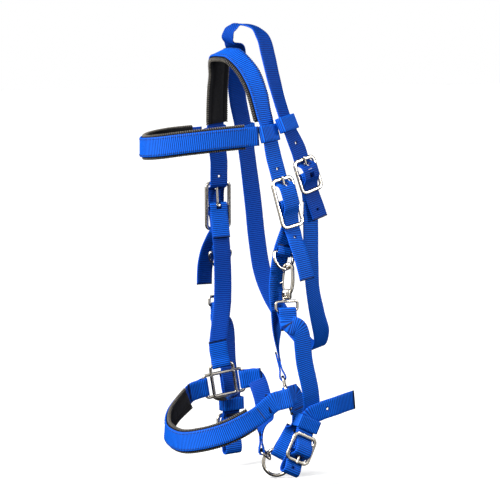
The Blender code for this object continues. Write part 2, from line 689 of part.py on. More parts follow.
# ------------------------------------------------------------------ throatlatch
def throat_route():
    route = Route()
    away = THROAT.turn(0, -math.cos(math.radians(17)), -math.sin(math.radians(17)))
    start = fold(THROAT.o, away, THROAT.turn(0, -0.29, 0.957), BAR_R, 24.0, 34.0)
    route.add_all(reversed(start))
    for point, normal in (
        (at(86, 77, -222), (1.0, 0.15, 0.0)),
        (at(86, 78, -268), (1.0, 0.2, 0.0)),
        (at(82, 83, -302), (0.97, 0.3, -0.1)),
        (at(72, 96, -336), (0.85, 0.3, -0.4)),
        (at(58, 111, -366), (0.6, 0.3, -0.75)),
        (at(40, 115, -383), (0.2, 0.25, -0.95)),
        (at(20, 111, -379), (-0.3, 0.2, -0.93)),
        (at(0, 105, -364), (-0.6, 0.2, -0.75)),
        (at(-24, 100, -345), (-0.75, 0.2, -0.6)),
        (at(-46, 95, -320), (-0.85, 0.2, -0.45)),
        (at(-62, 91, -290), (-0.95, 0.2, -0.25)),
        (at(-71, 88, -248), (-1.0, 0.15, -0.1)),
        (at(-75, 84, -196), (-1.0, 0.1, 0.0)),
        (at(-76, 77, -143), (-1.0, 0.0, 0.0)),
        (at(-74, 68, -94), (-0.98, 0.0, 0.15)),
        (at(-64, 54, -56), (-0.92, 0.0, 0.35)),
        (at(-49, 43, -22), (-0.85, 0.1, 0.45)),
        (at(-32, 34, 4), (-0.55, 0.15, 0.85)),
    ):
        route.add(point, normal)
    for x, degrees in ((-14, 180), (-10, 135), (-4, 90), (2, 45), (8, 0)):
        angle = math.radians(degrees)
        out = vec(0, -math.sin(angle), math.cos(angle))
        hub = at(x, CURL_BACK, 0) + vec(0, 0, CURL_HIGH)
        route.add(hub + out * CURL_RADIUS, -out)
    for point, normal in (
        (at(24, 31, 37), (0.35, 0.25, 0.9)),
        (at(35, 36, 24), (0.75, 0.2, 0.6)),
        (at(43, 38, 3), (0.92, 0.22, 0.3)),
        (at(52, 40, -24), (0.94, 0.28, 0.25)),
        (at(62.5, 43.5, -55), (0.92, 0.36, 0.2)),
        (at(73, 49, -85), (0.90, 0.38, 0.15)),
    ):
        route.add(point, -vec(*normal))
    woven = weave(THROAT, THROAT_BUCKLE_HALF, 1.0, [(14, 0.0)],
                  [(9, 0.2), (24, 1.4), (38, 2.0)])
    route.add_all([(point, -normal) for point, normal in woven])
    return route


throat_p, throat_n = throat_route().dense(8.0)
throatlatch = ribbon("throatlatch_strap", throat_p, throat_n, STRAP_WIDTH, STRAP_THICK, BLUE)
buckle("throat_buckle", THROAT, THROAT_BUCKLE_HALF, 1)
slot_for_tongue(throatlatch, THROAT, 1)
tongue_hole(throatlatch, THROAT, THROAT_BUCKLE_HALF, 1)
punch_row(throatlatch, throat_p, throat_n, (at(78, 58, -110), at(94, 84, -196)))
for name, spot, sign in (("near_browband_rear_loop", at(73, 49, -85), 1),
                         ("far_browband_rear_loop", at(-75, 70, -102), 1)):
    c, t, m = station(throat_p, throat_n, spot)
    strap_loop(name, c, t * (1 if t[2] > 0 else -1), m, STRAP_WIDTH / 2 + 1.2 - 1.5 * LAYER,
               HALF_T + 2.0 - 2.5 * LAYER, 20.0)


# ------------------------------------------------------------------ noseband
STAPLE_R = SQUARE_BAR * 0.94 / 2
NEAR_FRONT = NEAR_SQUARE.point(-SQUARE_REACH, 0, 0)
NEAR_REAR = NEAR_SQUARE.point(SQUARE_REACH, 0, 0)
FAR_FRONT = FAR_SQUARE.point(SQUARE_REACH, 0, 0)
FAR_REAR = FAR_SQUARE.point(-SQUARE_REACH, 0, 0)


def about_bar(frame, bar, toward, out_hint, main, tail):
    """A fold round an upright bar of a square."""
    return fold_on(bar, frame.v, toward, out_hint, STAPLE_R, main, tail)


nose = Route()
nose.add_all(reversed(about_bar(NEAR_SQUARE, NEAR_FRONT, (-0.05, -0.98, -0.1), (1, 0, 0),
                                20.0, 30.0)))
for point, normal in (
    (at(90, -6, -459.5), (0.96, -0.25, 0.0)),
    (at(77, -39, -478), (0.80, -0.6, 0.0)),
    (at(50, -62, -490), (0.45, -0.9, 0.0)),
    (at(10, -76, -497), (0.10, -1.0, 0.0)),
    (at(-27, -76, -490), (-0.30, -0.95, 0.0)),
    (at(-59, -51, -473), (-0.80, -0.6, 0.0)),
    (at(-77, -19, -456), (-0.97, -0.22, 0.0)),
):
    nose.add(point, normal)
nose.add_all(about_bar(FAR_SQUARE, FAR_FRONT, (0.12, -0.97, -0.1), (-1, 0, 0), 20.0, 28.0))
nose_p, nose_n = nose.dense(9.0)
noseband = ribbon("noseband_strap", nose_p, nose_n, STRAP_WIDTH, STRAP_THICK, BLUE)
nose_from = nearest(nose_p, at(88, -11, -462))
nose_to = nearest(nose_p, at(-77, -20, -456)) + 1
pad("noseband_pad", nose_p, nose_n, nose_from, nose_to)


# ------------------------------------------------------------------ chin straps, link and ring
RING = Frame(at(10, 71, -537.5), (0, 0, 1), (0.866, -0.5, 0.0))


def around_ring(degrees, radius):
    angle = math.radians(degrees)
    return RING.turn(math.cos(angle), math.sin(angle), 0) * radius


ring_points = [RING.o + around_ring(360 * k / 36, RING_RADIUS) for k in range(36)]
tube("chin_ring", ring_points, RING.n, RING_WIRE, RING_WIRE, NICKEL,
     RING.o + around_ring(62, RING_RADIUS), True, 10)

LINK_ANGLE = 142.0
LINK_TALL = 14.0
link_out = around_ring(LINK_ANGLE, 1.0)
link_in = RING_RADIUS - RING_WIRE / 2 - EYE_WIRE / 2 - 2.0
LINK = Frame(RING.o + link_out * (link_in + LINK_TALL / 2), link_out,
             np.cross(RING.n, link_out))
half = STRAP_WIDTH / 2 + 1.3 + EYE_WIRE / 2
tube("chin_link", [LINK.point(u, v, 0) for u, v in rounded_rect(half, LINK_TALL / 2, 3.2)],
     LINK.n, EYE_WIRE, EYE_WIRE, NICKEL)

far_chin = Route()
far_chin.add_all(reversed(about_bar(FAR_SQUARE, FAR_REAR, (0.45, 0.85, -0.3), (-1, 0, 0),
                                    16.0, 26.0)))
far_chin.add(at(-34, 78, -470), (-0.5, 0.1, -0.85))
link_bar = LINK.point(0, LINK_TALL / 2, 0)
far_chin.add_all(fold_on(link_bar, LINK.u, at(-24, 66, -492) - link_bar, (0, 0.3, -1),
                         EYE_WIRE / 2, 16.0, 24.0))
p, n = far_chin.dense(8.0)
ribbon("far_chin_strap", p, n, STRAP_WIDTH, STRAP_THICK, BLUE)

near_chin = Route()
near_chin.add_all(reversed(about_bar(NEAR_SQUARE, NEAR_REAR, (-0.25, 0.9, -0.4), (1, 0.4, 0),
                                     16.0, 26.0)))
near_chin.add(at(42, 86, -474), (0.95, 0.2, 0.1))
sag = RING_RADIUS - math.sqrt(RING_RADIUS**2 - (STRAP_WIDTH / 2) ** 2)
wire = RING.o + around_ring(62, RING_RADIUS - sag / 2)
lift = around_ring(62, 1.0)
near_chin.add_all(fold(wire, lift, RING.n, RING_WIRE / 2 + sag / 2 + 1.3, 30.0, 38.0))
p, n = near_chin.dense(8.0)
ribbon("near_chin_strap", p, n, STRAP_WIDTH, STRAP_THICK, BLUE)


# ------------------------------------------------------------------ dees, snaps and bit hangers
def dee_and_snap(side, p, n, spot, shift, plane, eye_out):
    """A dee sewn to the cheek, and the snap that hangs from it, shifted along its round side."""
    c, t, m = station(p, n, spot)
    up = t * (1 if t[2] > 0 else -1)
    stand = HALF_T + GAP + CHAPE_THICK + GAP + DEE_WIRE / 2 + 0.2
    cheek = Frame(c + m * stand, up, m)
    legs = fold(cheek.o, cheek.v, cheek.n, DEE_WIRE / 2, 11.0, 11.0, CHAPE_THICK)
    route = Route()
    route.add_all(legs)
    q, k = route.dense(6.0)
    ribbon(side + "_dee_chape", q, k, CHAPE_WIDTH, CHAPE_THICK, BLUE)
    swing = math.radians(DEE_SWING)
    hang = cheek.turn(0, math.cos(swing), -math.sin(swing))
    ring = Frame(cheek.o, hang, cheek.turn(0, math.sin(swing), math.cos(swing)))
    dee(side + "_dee_ring", ring, DEE_HALF, DEE_DEPTH)
    lift = math.sqrt(1 - (shift / DEE_HALF) ** 2)
    wire = ring.point(shift, -4 - (DEE_DEPTH - 4) * lift, 0)
    hook = Frame(wire, (0, 0, 1), np.cross(plane, vec(0, 0, 1)))
    hook.o = wire - hook.v * 40.2 - hook.u * 2.2
    eye = Frame(hook.o - hook.v * (EYE_WIRE / 2 + 0.7), (0, 0, 1), eye_out)
    snap(side, hook, eye)
    return ring, hook, eye


near_ring, near_hook, near_eye = dee_and_snap(
    "near", near_cheek_p, near_cheek_n, at(87, 31, -246), 8.0, vec(0.8, 0.6, 0),
    (1.0, -0.05, 0))
far_ring, far_hook, far_eye = dee_and_snap(
    "far", far_cheek_p, far_cheek_n, at(-86, 41, -260), -3.0, vec(0.95, 0.31, 0),
    (-1.0, 0.05, 0))


def hanger(side, eye, frame, keys, turn_tip, holes):
    """A bit hanger: folded on the snap's eye and on its buckle's bar, with the bit loop sewn
    inside it and buckled back up under the keeper."""
    route = Route()
    bar = eye.point(0, -EYE_DROP, 0)
    route.add_all(reversed(fold_on(bar, eye.u, keys[0][0] - bar, eye.n, EYE_WIRE / 2, 18.0,
                                   26.0)))
    for point, normal in keys:
        route.add(point, normal)
    lean = lean_of(HANGER_BUCKLE_HALF)
    route.add(frame.point(0, 52, -12.5 - LAYER), frame.n)
    route.add(frame.point(0, 33, -11.4 - LAYER), frame.n)
    away = frame.turn(0, math.cos(lean), -math.sin(lean))
    route.add_all(fold(frame.o, away, frame.turn(0, math.sin(lean), math.cos(lean)), BAR_R,
                       19.0, 18.0))
    p, n = route.dense(9.0)
    main = ribbon(f"{side}_hanger_strap", p, n, STRAP_WIDTH, STRAP_THICK, BLUE)
    slot_for_tongue(main, frame, -1)
    half = HANGER_BUCKLE_HALF
    route = Route()
    inner = [(20, -15.4), (10, -12.8), (0, -10.2), (-10, -9.6), (-20, -10.4)]
    inner = [(v, n - LAYER * (4.6 + 0.12 * v)) for v, n in inner]
    low = -half - BIT_LOOP
    inner += [(low + 7, -11.4), (low + 1.8, -9.4), (low, -5.2), (low + 2.0, -0.9)]
    for i, (v, k) in enumerate(inner):
        a, b = inner[max(i - 1, 0)], inner[min(i + 1, len(inner) - 1)]
        route.add(frame.point(0, v, k), frame.turn(0, (b[1] - a[1]), -(b[0] - a[0])) * -1.0)
    rise = [(BIT_LOOP - 7, 3.6), (5.5, 1.6)]
    rise = [(v, k) for v, k in rise if v > 5]
    woven = weave(frame, half, -1.0, rise, [(5, -2.2), (16, -4.2), (26, -4.6)])
    route.add_all([(q, k) for q, k in woven])
    for point, normal in turn_tip:
        route.add(point, normal)
    p, n = route.dense(7.0)
    loop = ribbon(f"{side}_bit_loop", p, n, STRAP_WIDTH, STRAP_THICK, BLUE)
    tongue_hole(loop, frame, half, -1)
    punch_row(loop, p, n, [frame.point(0, low + 9, 2.0)] + holes)
    buckle(f"{side}_hanger_buckle", frame, half, -1)
    keeper = frame.point(0, half + 16, -9.7)
    strap_loop(f"{side}_hanger_keeper", keeper, frame.v, frame.n,
               STRAP_WIDTH / 2 + 1.5, 2 * HALF_T + 2.8, 17.0, keeper)
    return main, loop


near_keys = [
    (at(107, 47, -348), (1.0, 0.0, 0.0)),
    (at(106, 56, -392), (1.0, 0.0, 0.0)),
    (at(103, 67, -432), (1.0, 0.0, 0.0)),
]
near_tip = [
    (at(103, 84, -457), (1.0, 0.1, 0.0)),
    (at(105, 104, -452), (1.0, 0.1, 0.0)),
    (at(101, 122, -449), (0.98, 0.2, 0.0)),
    (at(97, 138, -447), (0.97, 0.25, 0.0)),
]
hanger("near", near_eye, NEAR_HANGER, near_keys, near_tip, [at(104, 93, -455)])

far_keys = [
    (at(-101, 55, -364), (-1.0, 0.0, 0.0)),
    (at(-97, 57.5, -416), (-1.0, 0.0, 0.0)),
]
far_tip = [
    (at(-99, 60.5, -449), (-1.0, 0.0, 0.1)),
    (at(-104, 60.5, -431), (-1.0, 0.0, 0.25)),
]
hanger("far", far_eye, FAR_HANGER, far_keys, far_tip, [])
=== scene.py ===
"""Halter-bridle for a horse: the visible pieces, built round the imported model.

Ribbed nylon webbing, padded poll, brow and nose, and bright nickel hardware. Lengths in the
shape code are millimetres; meshes are written in metres. +Z is up, +X the horse's near side and
-Y the front, with the origin under the poll pad."""

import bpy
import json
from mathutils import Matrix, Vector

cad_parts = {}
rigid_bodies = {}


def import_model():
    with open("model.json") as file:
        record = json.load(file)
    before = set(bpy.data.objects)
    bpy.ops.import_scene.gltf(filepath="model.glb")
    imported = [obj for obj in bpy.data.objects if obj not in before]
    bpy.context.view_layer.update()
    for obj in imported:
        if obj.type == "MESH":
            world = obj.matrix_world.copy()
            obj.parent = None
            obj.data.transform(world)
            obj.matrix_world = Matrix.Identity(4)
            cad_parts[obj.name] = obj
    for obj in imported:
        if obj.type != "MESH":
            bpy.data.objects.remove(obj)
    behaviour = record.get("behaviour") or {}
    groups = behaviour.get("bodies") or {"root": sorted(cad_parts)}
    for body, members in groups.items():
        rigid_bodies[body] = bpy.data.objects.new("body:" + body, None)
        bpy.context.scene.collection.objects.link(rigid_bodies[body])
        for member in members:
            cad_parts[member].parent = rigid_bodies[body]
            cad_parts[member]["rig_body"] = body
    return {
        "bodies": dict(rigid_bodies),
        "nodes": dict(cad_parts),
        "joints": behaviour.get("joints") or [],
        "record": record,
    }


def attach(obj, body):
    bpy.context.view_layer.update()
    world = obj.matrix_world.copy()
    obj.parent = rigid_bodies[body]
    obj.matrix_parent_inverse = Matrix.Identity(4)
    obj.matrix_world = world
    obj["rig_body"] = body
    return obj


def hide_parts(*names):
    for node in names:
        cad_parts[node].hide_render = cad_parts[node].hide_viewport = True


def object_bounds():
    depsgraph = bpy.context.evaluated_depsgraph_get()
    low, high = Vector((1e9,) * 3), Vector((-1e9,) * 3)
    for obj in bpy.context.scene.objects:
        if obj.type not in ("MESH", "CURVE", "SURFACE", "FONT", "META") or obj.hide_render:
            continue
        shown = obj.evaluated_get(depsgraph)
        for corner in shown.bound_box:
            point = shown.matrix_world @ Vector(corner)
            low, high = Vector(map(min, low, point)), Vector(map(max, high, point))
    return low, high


bl_info = {
    "name": "Halter-bridle",
    "version": (1, 0, 0),
    "blender": (4, 5, 0),
    "location": "3D View > Sidebar > Halter",
    "description": "Webbing, padding and hardware of a horse's halter-bridle",
    "category": "Object",
}

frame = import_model()
CAD_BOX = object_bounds()

import json
import math

import bmesh
import bpy
import numpy as np
from bpy.props import FloatProperty, FloatVectorProperty, PointerProperty
from mathutils import Vector

MM = 0.001               # a millimetre, in metres

# ---- overall sizes, mm
HEAD_HEIGHT = 600.0      # poll to the bottom of the lead ring
HEAD_WIDTH = 216.0       # across the bit hangers
HEAD_DEPTH = 258.0       # front of the noseband to the hanger tip
# ---- webbing and padding, mm
STRAP_WIDTH = 25.0
STRAP_THICK = 2.2
PAD_WIDTH = 31.0
PAD_THICK = 5.0
CHAPE_WIDTH = 22.0
GAP = 0.4                # between layers that touch
PAD_GAP = 0.9            # between a strap and the pad sewn under it
PAD_CHANNEL = 8.9        # from a pad's middle line to each of its two sewn channels
CHANNEL_WIDE = 1.1
CHANNEL_DEEP = 2.2       # how far a channel pulls in the side that lies on the horse
FOAM_MASS = 0.02         # of one point of the pad's skin, kg
FOAM_PUSH = 110.0        # pressure of the foam behind the skin
FOAM_STEPS = 12          # frames until the skin rests
FOAM_RISE = 1.2          # most that the skin moves
HOLE_DIA = 4.6           # long hole that a tongue passes
SPARE_HOLE = 3.4         # round adjusting hole
POLL_TILT = 23.0         # degrees that the poll strap leans forward
CURL_RADIUS = 12.6       # loose turn of the throatlatch over the poll
CURL_HIGH = 29.5
CURL_BACK = 19.0
# ---- hardware, mm
BUCKLE_RIM = 5.0
BUCKLE_DEEP = 3.8
BAR_DIA = 3.6
CROWN_BUCKLE_HALF = 31.0
THROAT_BUCKLE_HALF = 21.0
HANGER_BUCKLE_HALF = 17.0
BIT_LOOP = 19.0          # how far the bit loop hangs below its buckle
DEE_WIRE = 4.0
EYE_WIRE = 3.6
EYE_DROP = 12.0
CHAPE_THICK = 1.4
DEE_HALF = 15.5
DEE_DEPTH = 21.0
DEE_SWING = 20.0         # degrees that a dee stands out from the cheek
RING_WIRE = 4.6
RING_RADIUS = 17.5
SQUARE_HALF = 15.5
SQUARE_REACH = 26.5
SQUARE_BAR = 4.6
SQUARE_DEEP = 4.4

SX = HEAD_WIDTH / 216.0
SY = HEAD_DEPTH / 258.0
SZ = HEAD_HEIGHT / 600.0
# ---- one stitch: its length and its thread, mm, thicker than real thread so that they show
OVERLOCK = (3.1, 1.05)
RUNNING = (2.7, 0.85)
TACK = (2.4, 0.75)
# ---- the camera looks at the halter's middle from its near side, a little from the front
MIDDLE = Vector((0.0345, 0.0161, -0.2499))
AZIMUTH = math.radians(60)
ELEVATION = math.radians(5)
HALF_T = STRAP_THICK / 2
BAR_R = BAR_DIA / 2

RIB_SAMPLES = 5          # mesh stations in one rib of the webbing
FINE = 2.0               # spline step before a route is cut into even stations, mm


def srgb(code):
    """Linear RGBA of an sRGB hex colour."""
    parts = [int(code[i : i + 2], 16) / 255 for i in (1, 3, 5)]
    return (*[c / 12.92 if c <= 0.04045 else ((c + 0.055) / 1.055) ** 2.4 for c in parts], 1.0)


# ------------------------------------------------------------------ what a user may change
# Real ribs are about 1.5 mm apart and real overlock about 1.8 mm; both are coarser here, so that
# they show.
class HalterWebbing(bpy.types.PropertyGroup):
    rib_pitch: FloatProperty(
        name="Rib pitch", description="Distance between ribs along the webbing",
        default=2.6e-3, min=1e-3, max=5e-3, unit="LENGTH")
    rib_height: FloatProperty(
        name="Rib height", description="Depth of the groove between two ribs",
        default=0.6e-3, min=0.0, max=1e-3, unit="LENGTH")
    colour: FloatVectorProperty(
        name="Webbing colour", description="Dyed nylon on top of a rib",
        size=4, subtype="COLOR", min=0, max=1, default=srgb("#0672F8"))
    # The groove colour is painted shade: the same dyed nylon, drawn darker down between the ribs
    # where shade falls.
    groove: FloatVectorProperty(
        name="Groove colour", description="Dyed nylon down between the ribs",
        size=4, subtype="COLOR", min=0, max=1, default=srgb("#001E74"))


class HalterPadding(bpy.types.PropertyGroup):
    colour: FloatVectorProperty(
        name="Pad colour", description="Black polyester knit over the foam",
        size=4, subtype="COLOR", min=0, max=1, default=srgb("#121214"))
    binding: FloatVectorProperty(
        name="Binding thread", description="Overlock thread along the pad's edges",
        size=4, subtype="COLOR", min=0, max=1, default=srgb("#5E574C"))
    stitch_pitch: FloatProperty(
        name="Overlock pitch", description="Distance between two overlock stitches",
        default=3.0e-3, min=0.8e-3, max=6e-3, unit="LENGTH")


class HalterHardware(bpy.types.PropertyGroup):
    colour: FloatVectorProperty(
        name="Plate colour", description="Nickel plate on die-cast zinc",
        size=4, subtype="COLOR", min=0, max=1, default=srgb("#DCD5C8"))
    roughness: FloatProperty(
        name="Plate roughness", description="Microscopic roughness of the polished plate",
        default=0.13, min=0.02, max=0.6)


class HalterStage(bpy.types.PropertyGroup):
    floor: FloatVectorProperty(
        name="Floor colour", description="Matt paper floor",
        size=4, subtype="COLOR", min=0, max=1, default=srgb("#F4F4F4"))
    distance: FloatProperty(
        name="Camera distance", description="From the middle of the halter to the camera",
        default=3.25, min=1.0, max=8.0, unit="LENGTH")
    focal: FloatProperty(
        name="Focal length", description="Lens of the camera",
        default=180.0, min=50.0, max=300.0, unit="CAMERA")
    sun: FloatProperty(
        name="Window light", description="Strength of the broad light from the front left",
        default=2.4, min=0.0, max=10.0)


# ------------------------------------------------------------------ vectors and routes
def vec(*xyz):
    return np.array(xyz, float)


def unit(a):
    a = np.asarray(a, float)
    return a / np.linalg.norm(a)


def at(x, y, z):
    """A point of the harness, following the overall sizes."""
    return vec(x * SX, y * SY, z * SZ)


class Frame:
    """A flat piece's own axes: u along its bars, v up its length, n outward."""

    def __init__(self, origin, up, out):
        self.o = np.asarray(origin, float)
        self.v = unit(up)
        self.n = unit(np.asarray(out, float) - np.dot(out, self.v) * self.v)
        self.u = np.cross(self.v, self.n)

    def point(self, u, v, n):
        return self.o + self.u * u + self.v * v + self.n * n

    def turn(self, u, v, n):
        return self.u * u + self.v * v + self.n * n


def spline(keys, normals, step):
    """Centripetal Catmull-Rom through the keys; the normals are blended along it."""
    keys = [np.asarray(k, float) for k in keys]
    normals = [unit(n) for n in normals]
    first = 2 * keys[0] - keys[1]
    last = 2 * keys[-1] - keys[-2]
    pts = [first] + keys + [last]
    out_p = []
    out_n = []
    for i in range(len(keys) - 1):
        p0, p1, p2, p3 = pts[i : i + 4]
        t1 = math.sqrt(max(np.linalg.norm(p1 - p0), 1e-6))
        t2 = t1 + math.sqrt(max(np.linalg.norm(p2 - p1), 1e-6))
        t3 = t2 + math.sqrt(max(np.linalg.norm(p3 - p2), 1e-6))
        count = max(1, int(round(np.linalg.norm(p2 - p1) / step)))
        for k in range(count):
            f = k / count
            t = t1 + (t2 - t1) * f
            a1 = (t1 - t) / t1 * p0 + t / t1 * p1
            a2 = (t2 - t) / (t2 - t1) * p1 + (t - t1) / (t2 - t1) * p2
            a3 = (t3 - t) / (t3 - t2) * p2 + (t - t2) / (t3 - t2) * p3
            b1 = (t2 - t) / t2 * a1 + t / t2 * a2
            b2 = (t3 - t) / (t3 - t1) * a2 + (t - t1) / (t3 - t1) * a3
            out_p.append((t2 - t) / (t2 - t1) * b1 + (t - t1) / (t2 - t1) * b2)
            smooth = f * f * (3 - 2 * f)
            out_n.append(unit(normals[i] * (1 - smooth) + normals[i + 1] * smooth))
    out_p.append(keys[-1])
    out_n.append(normals[-1])
    return np.array(out_p), np.array(out_n)


class Route:
    """A strap's centre line with its outward direction, built up station by station."""

    def __init__(self):
        self.p = []
        self.n = []

    def add(self, point, normal):
        self.p.append(np.asarray(point, float))
        self.n.append(unit(normal))
        return self

    def add_all(self, stations):
        for point, normal in stations:
            self.add(point, normal)
        return self

    def dense(self, step=9.0):
        return spline(self.p, self.n, step)


def fold(origin, away, out, bar_r, main, tail, thick=STRAP_THICK, side=1.0):
    """Stations of a strap turned round a bar: down the main leg to the bar, round it and back
    along the tail. away points from the bar along the legs; side +1 puts the main leg outside."""
    out = unit(out) * side
    away = unit(away)
    turn = bar_r + GAP + thick / 2
    close = (thick + GAP) / 2
    reach = 3.2 * turn

    def spread(a):
        return close + (turn - close) * 0.5 * (1 + math.cos(math.pi * min(a / reach, 1)))

    legs = [0.25 * reach, 0.5 * reach, 0.75 * reach, reach]
    stations = []
    for a in [main] + [a for a in reversed(legs) if a < main - 2]:
        stations.append((origin + away * a + out * spread(a), out))
    for k in range(7):
        angle = math.pi * k / 6
        radial = -away * math.sin(angle) + out * math.cos(angle)
        stations.append((origin + radial * turn, radial))
    for a in [a for a in legs if a < tail - 2] + [tail]:
        stations.append((origin + away * a - out * spread(a), -out))
    return stations


def fold_on(bar, axis, toward, out_hint, bar_r, main, tail, thick=STRAP_THICK):
    """A fold round a bar of any direction, with the main leg on the hinted side."""
    axis = unit(axis)
    away = np.asarray(toward, float)
    away = unit(away - axis * np.dot(away, axis))
    out = np.cross(axis, away)
    if np.dot(out, out_hint) < 0:
        out = -out
    return fold(bar, away, out, bar_r, main, tail, thick)


def lean_of(half):
    """How far a folded strap leans back from its buckle, to pass under the threaded strap's
    tail behind the end bar."""
    depth = BUCKLE_DEEP / 2 + (STRAP_THICK + GAP) / 2 + GAP + 3 * HALF_T + 1.4
    return math.atan2(depth, half)


def weave(frame, half, sign, upper, lower):
    """Stations of a strap threaded through a three-bar buckle: behind the bar at +v, over the
    folded strap on the centre bar, behind the bar at -v. sign -1 turns it end for end."""
    back = BUCKLE_DEEP / 2 + GAP + HALF_T + 0.5
    over = BAR_R + 3 * HALF_T + 2 * GAP + HALF_T + 0.6
    keys = []
    for v, n in upper:
        keys.append((half + v, -back + n))
    keys += [(half, -back), (half - 2.6, -back + 0.2), (half - 5.5, -0.7)]
    keys += [(half - 8.5, 0.72 * over), (0.36 * half, over + 0.4), (0.0, over)]
    keys += [(-0.25 * half, 0.80 * over), (-0.5 * half, 0.6), (-half, -back)]
    for v, n in lower:
        keys.append((-half - v, -back + n))
    stations = []
    for i, (v, n) in enumerate(keys):
        a = keys[max(i - 1, 0)]
        b = keys[min(i + 1, len(keys) - 1)]
        dv, dn = b[0] - a[0], b[1] - a[1]
        stations.append((frame.point(0, sign * v, n), frame.turn(0, sign * dn, -dv)))
    return stations


# ------------------------------------------------------------------ small tools
def node(tree, kind, inputs=None, out=None, **settings):
    """Adds one node. inputs maps a socket to a value or to the socket that feeds it. Gives the
    node back, or the output that out names."""
    made = tree.nodes.new(kind)
    for key, value in settings.items():
        setattr(made, key, value)
    for key, value in (inputs or {}).items():
        socket = made.inputs[key]
        if isinstance(value, bpy.types.NodeSocket):
            tree.links.new(value, socket)
        else:
            socket.default_value = value
    return made if out is None else made.outputs[out]


def body_of(cad):
    return frame["nodes"][cad]["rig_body"]


def finish(obj, cad, replaces=True):
    """Hangs a finished piece on the body of the CAD node that it belongs to."""
    if replaces:
        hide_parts(cad)
    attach(obj, body_of(cad))
    return obj


def new_object(name, verts, faces, mat, values=None, smooth=True):
    """A mesh object from millimetre points, with point attributes, its faces turned outward."""
    mesh = bpy.data.meshes.new(name)
    mesh.from_pydata([tuple(v) for v in np.asarray(verts, float) * MM], [], faces)
    bm = bmesh.new()
    bm.from_mesh(mesh)
    bmesh.ops.recalc_face_normals(bm, faces=bm.faces)
    if bm.calc_volume(signed=True) < 0:
        bmesh.ops.reverse_faces(bm, faces=bm.faces)
    bm.to_mesh(mesh)
    bm.free()
    for key, value in (values or {}).items():
        value = np.asarray(value, float)
        kind, field = ("FLOAT", "value") if value.ndim == 1 else ("FLOAT_VECTOR", "vector")
        mesh.attributes.new(key, kind, "POINT").data.foreach_set(field, value.ravel())
    if smooth:
        mesh.shade_smooth()
    obj = bpy.data.objects.new(name, mesh)
    obj.data.materials.append(mat)
    bpy.context.scene.collection.objects.link(obj)
    return obj


def applied(obj):
    """Turns the evaluated object into a plain mesh with no modifier left."""
    graph = bpy.context.evaluated_depsgraph_get()
    mesh = bpy.data.meshes.new_from_object(obj.evaluated_get(graph))
    old = obj.data
    obj.modifiers.clear()
    obj.data = mesh
    bpy.data.meshes.remove(old)
    mesh.name = obj.name
    return obj


def join(obj, tools, operation="UNION"):
    """Adds or cuts closed shapes, exactly, and removes them."""
    for tool in tools:
        mod = obj.modifiers.new("join", "BOOLEAN")
        mod.operation = operation
        mod.solver = "EXACT"
        mod.object = tool
    applied(obj)
    for tool in tools:
        mesh = tool.data
        bpy.data.objects.remove(tool)
        bpy.data.meshes.remove(mesh)
    return obj


def grow(obj, tree, **values):
    """Runs a geometry tree on an object and keeps its result as a plain mesh."""
    mod = obj.modifiers.new(tree.name, "NODES")
    mod.node_group = tree
    sockets = {s.name: s.identifier for s in tree.interface.items_tree if s.in_out == "INPUT"}
    for key, value in values.items():
        mod[sockets[key.replace("_", " ").capitalize()]] = value
    return applied(obj)


def skin(rings, closed):
    """Faces that join rings of the same length, with flat caps unless closed."""
    verts = [v for ring in rings for v in ring]
    size = len(rings[0])
    count = len(rings)
    faces = []
    for i in range(count if closed else count - 1):
        a = i * size
        b = (i + 1) % count * size
        for k in range(size):
            m = (k + 1) % size
            faces.append((a + k, a + m, b + m, b + k))
    if not closed:
        faces.append(tuple(range(size - 1, -1, -1)))
        faces.append(tuple((count - 1) * size + k for k in range(size)))
    return verts, faces


def tangents(p, closed=False):
    if closed:
        t = np.roll(p, -1, axis=0) - np.roll(p, 1, axis=0)
    else:
        t = np.gradient(p, axis=0)
    return t / np.linalg.norm(t, axis=1)[:, None]


def sections(p, n, closed=False):
    """Width and thickness directions at each station."""
    t = tangents(p, closed)
    n = np.array(n, float)
    n = n - t * np.sum(n * t, axis=1)[:, None]
    n = n / np.linalg.norm(n, axis=1)[:, None]
    return np.cross(t, n), n


def even(p, n, step, closed=False):
    """The same route cut into stations of equal length, a whole number of ribs long."""
    if closed:
        p, n = np.vstack([p, p[:1]]), np.vstack([n, n[:1]])
    s = np.concatenate([[0], np.cumsum(np.linalg.norm(np.diff(p, axis=0), axis=1))])
    count = max(2, round(s[-1] / step / RIB_SAMPLES)) * RIB_SAMPLES
    t = np.linspace(0, s[-1], count + 1)
    q = np.stack([np.interp(t, s, p[:, k]) for k in range(3)], axis=1)
    m = np.stack([np.interp(t, s, n[:, k]) for k in range(3)], axis=1)
    m /= np.linalg.norm(m, axis=1)[:, None]
    return (q[:-1], m[:-1]) if closed else (q, m)


# ------------------------------------------------------------------ geometry trees
def tree_with(name, sockets):
    tree = bpy.data.node_groups.new(name, "GeometryNodeTree")
    tree.interface.new_socket("Geometry", in_out="INPUT", socket_type="NodeSocketGeometry")
    for label, kind in sockets:
        tree.interface.new_socket(label, in_out="INPUT", socket_type="NodeSocket" + kind)
    tree.interface.new_socket("Geometry", in_out="OUTPUT", socket_type="NodeSocketGeometry")
    return tree, tree.nodes.new("NodeGroupInput").outputs


def close_tree(tree, geometry, mat):
    real = node(tree, "GeometryNodeRealizeInstances", {0: geometry})
    dressed = node(tree, "GeometryNodeSetMaterial", {"Geometry": real.outputs[0], "Material": mat})
    node(tree, "NodeGroupOutput", {0: dressed.outputs[0]})
    return tree


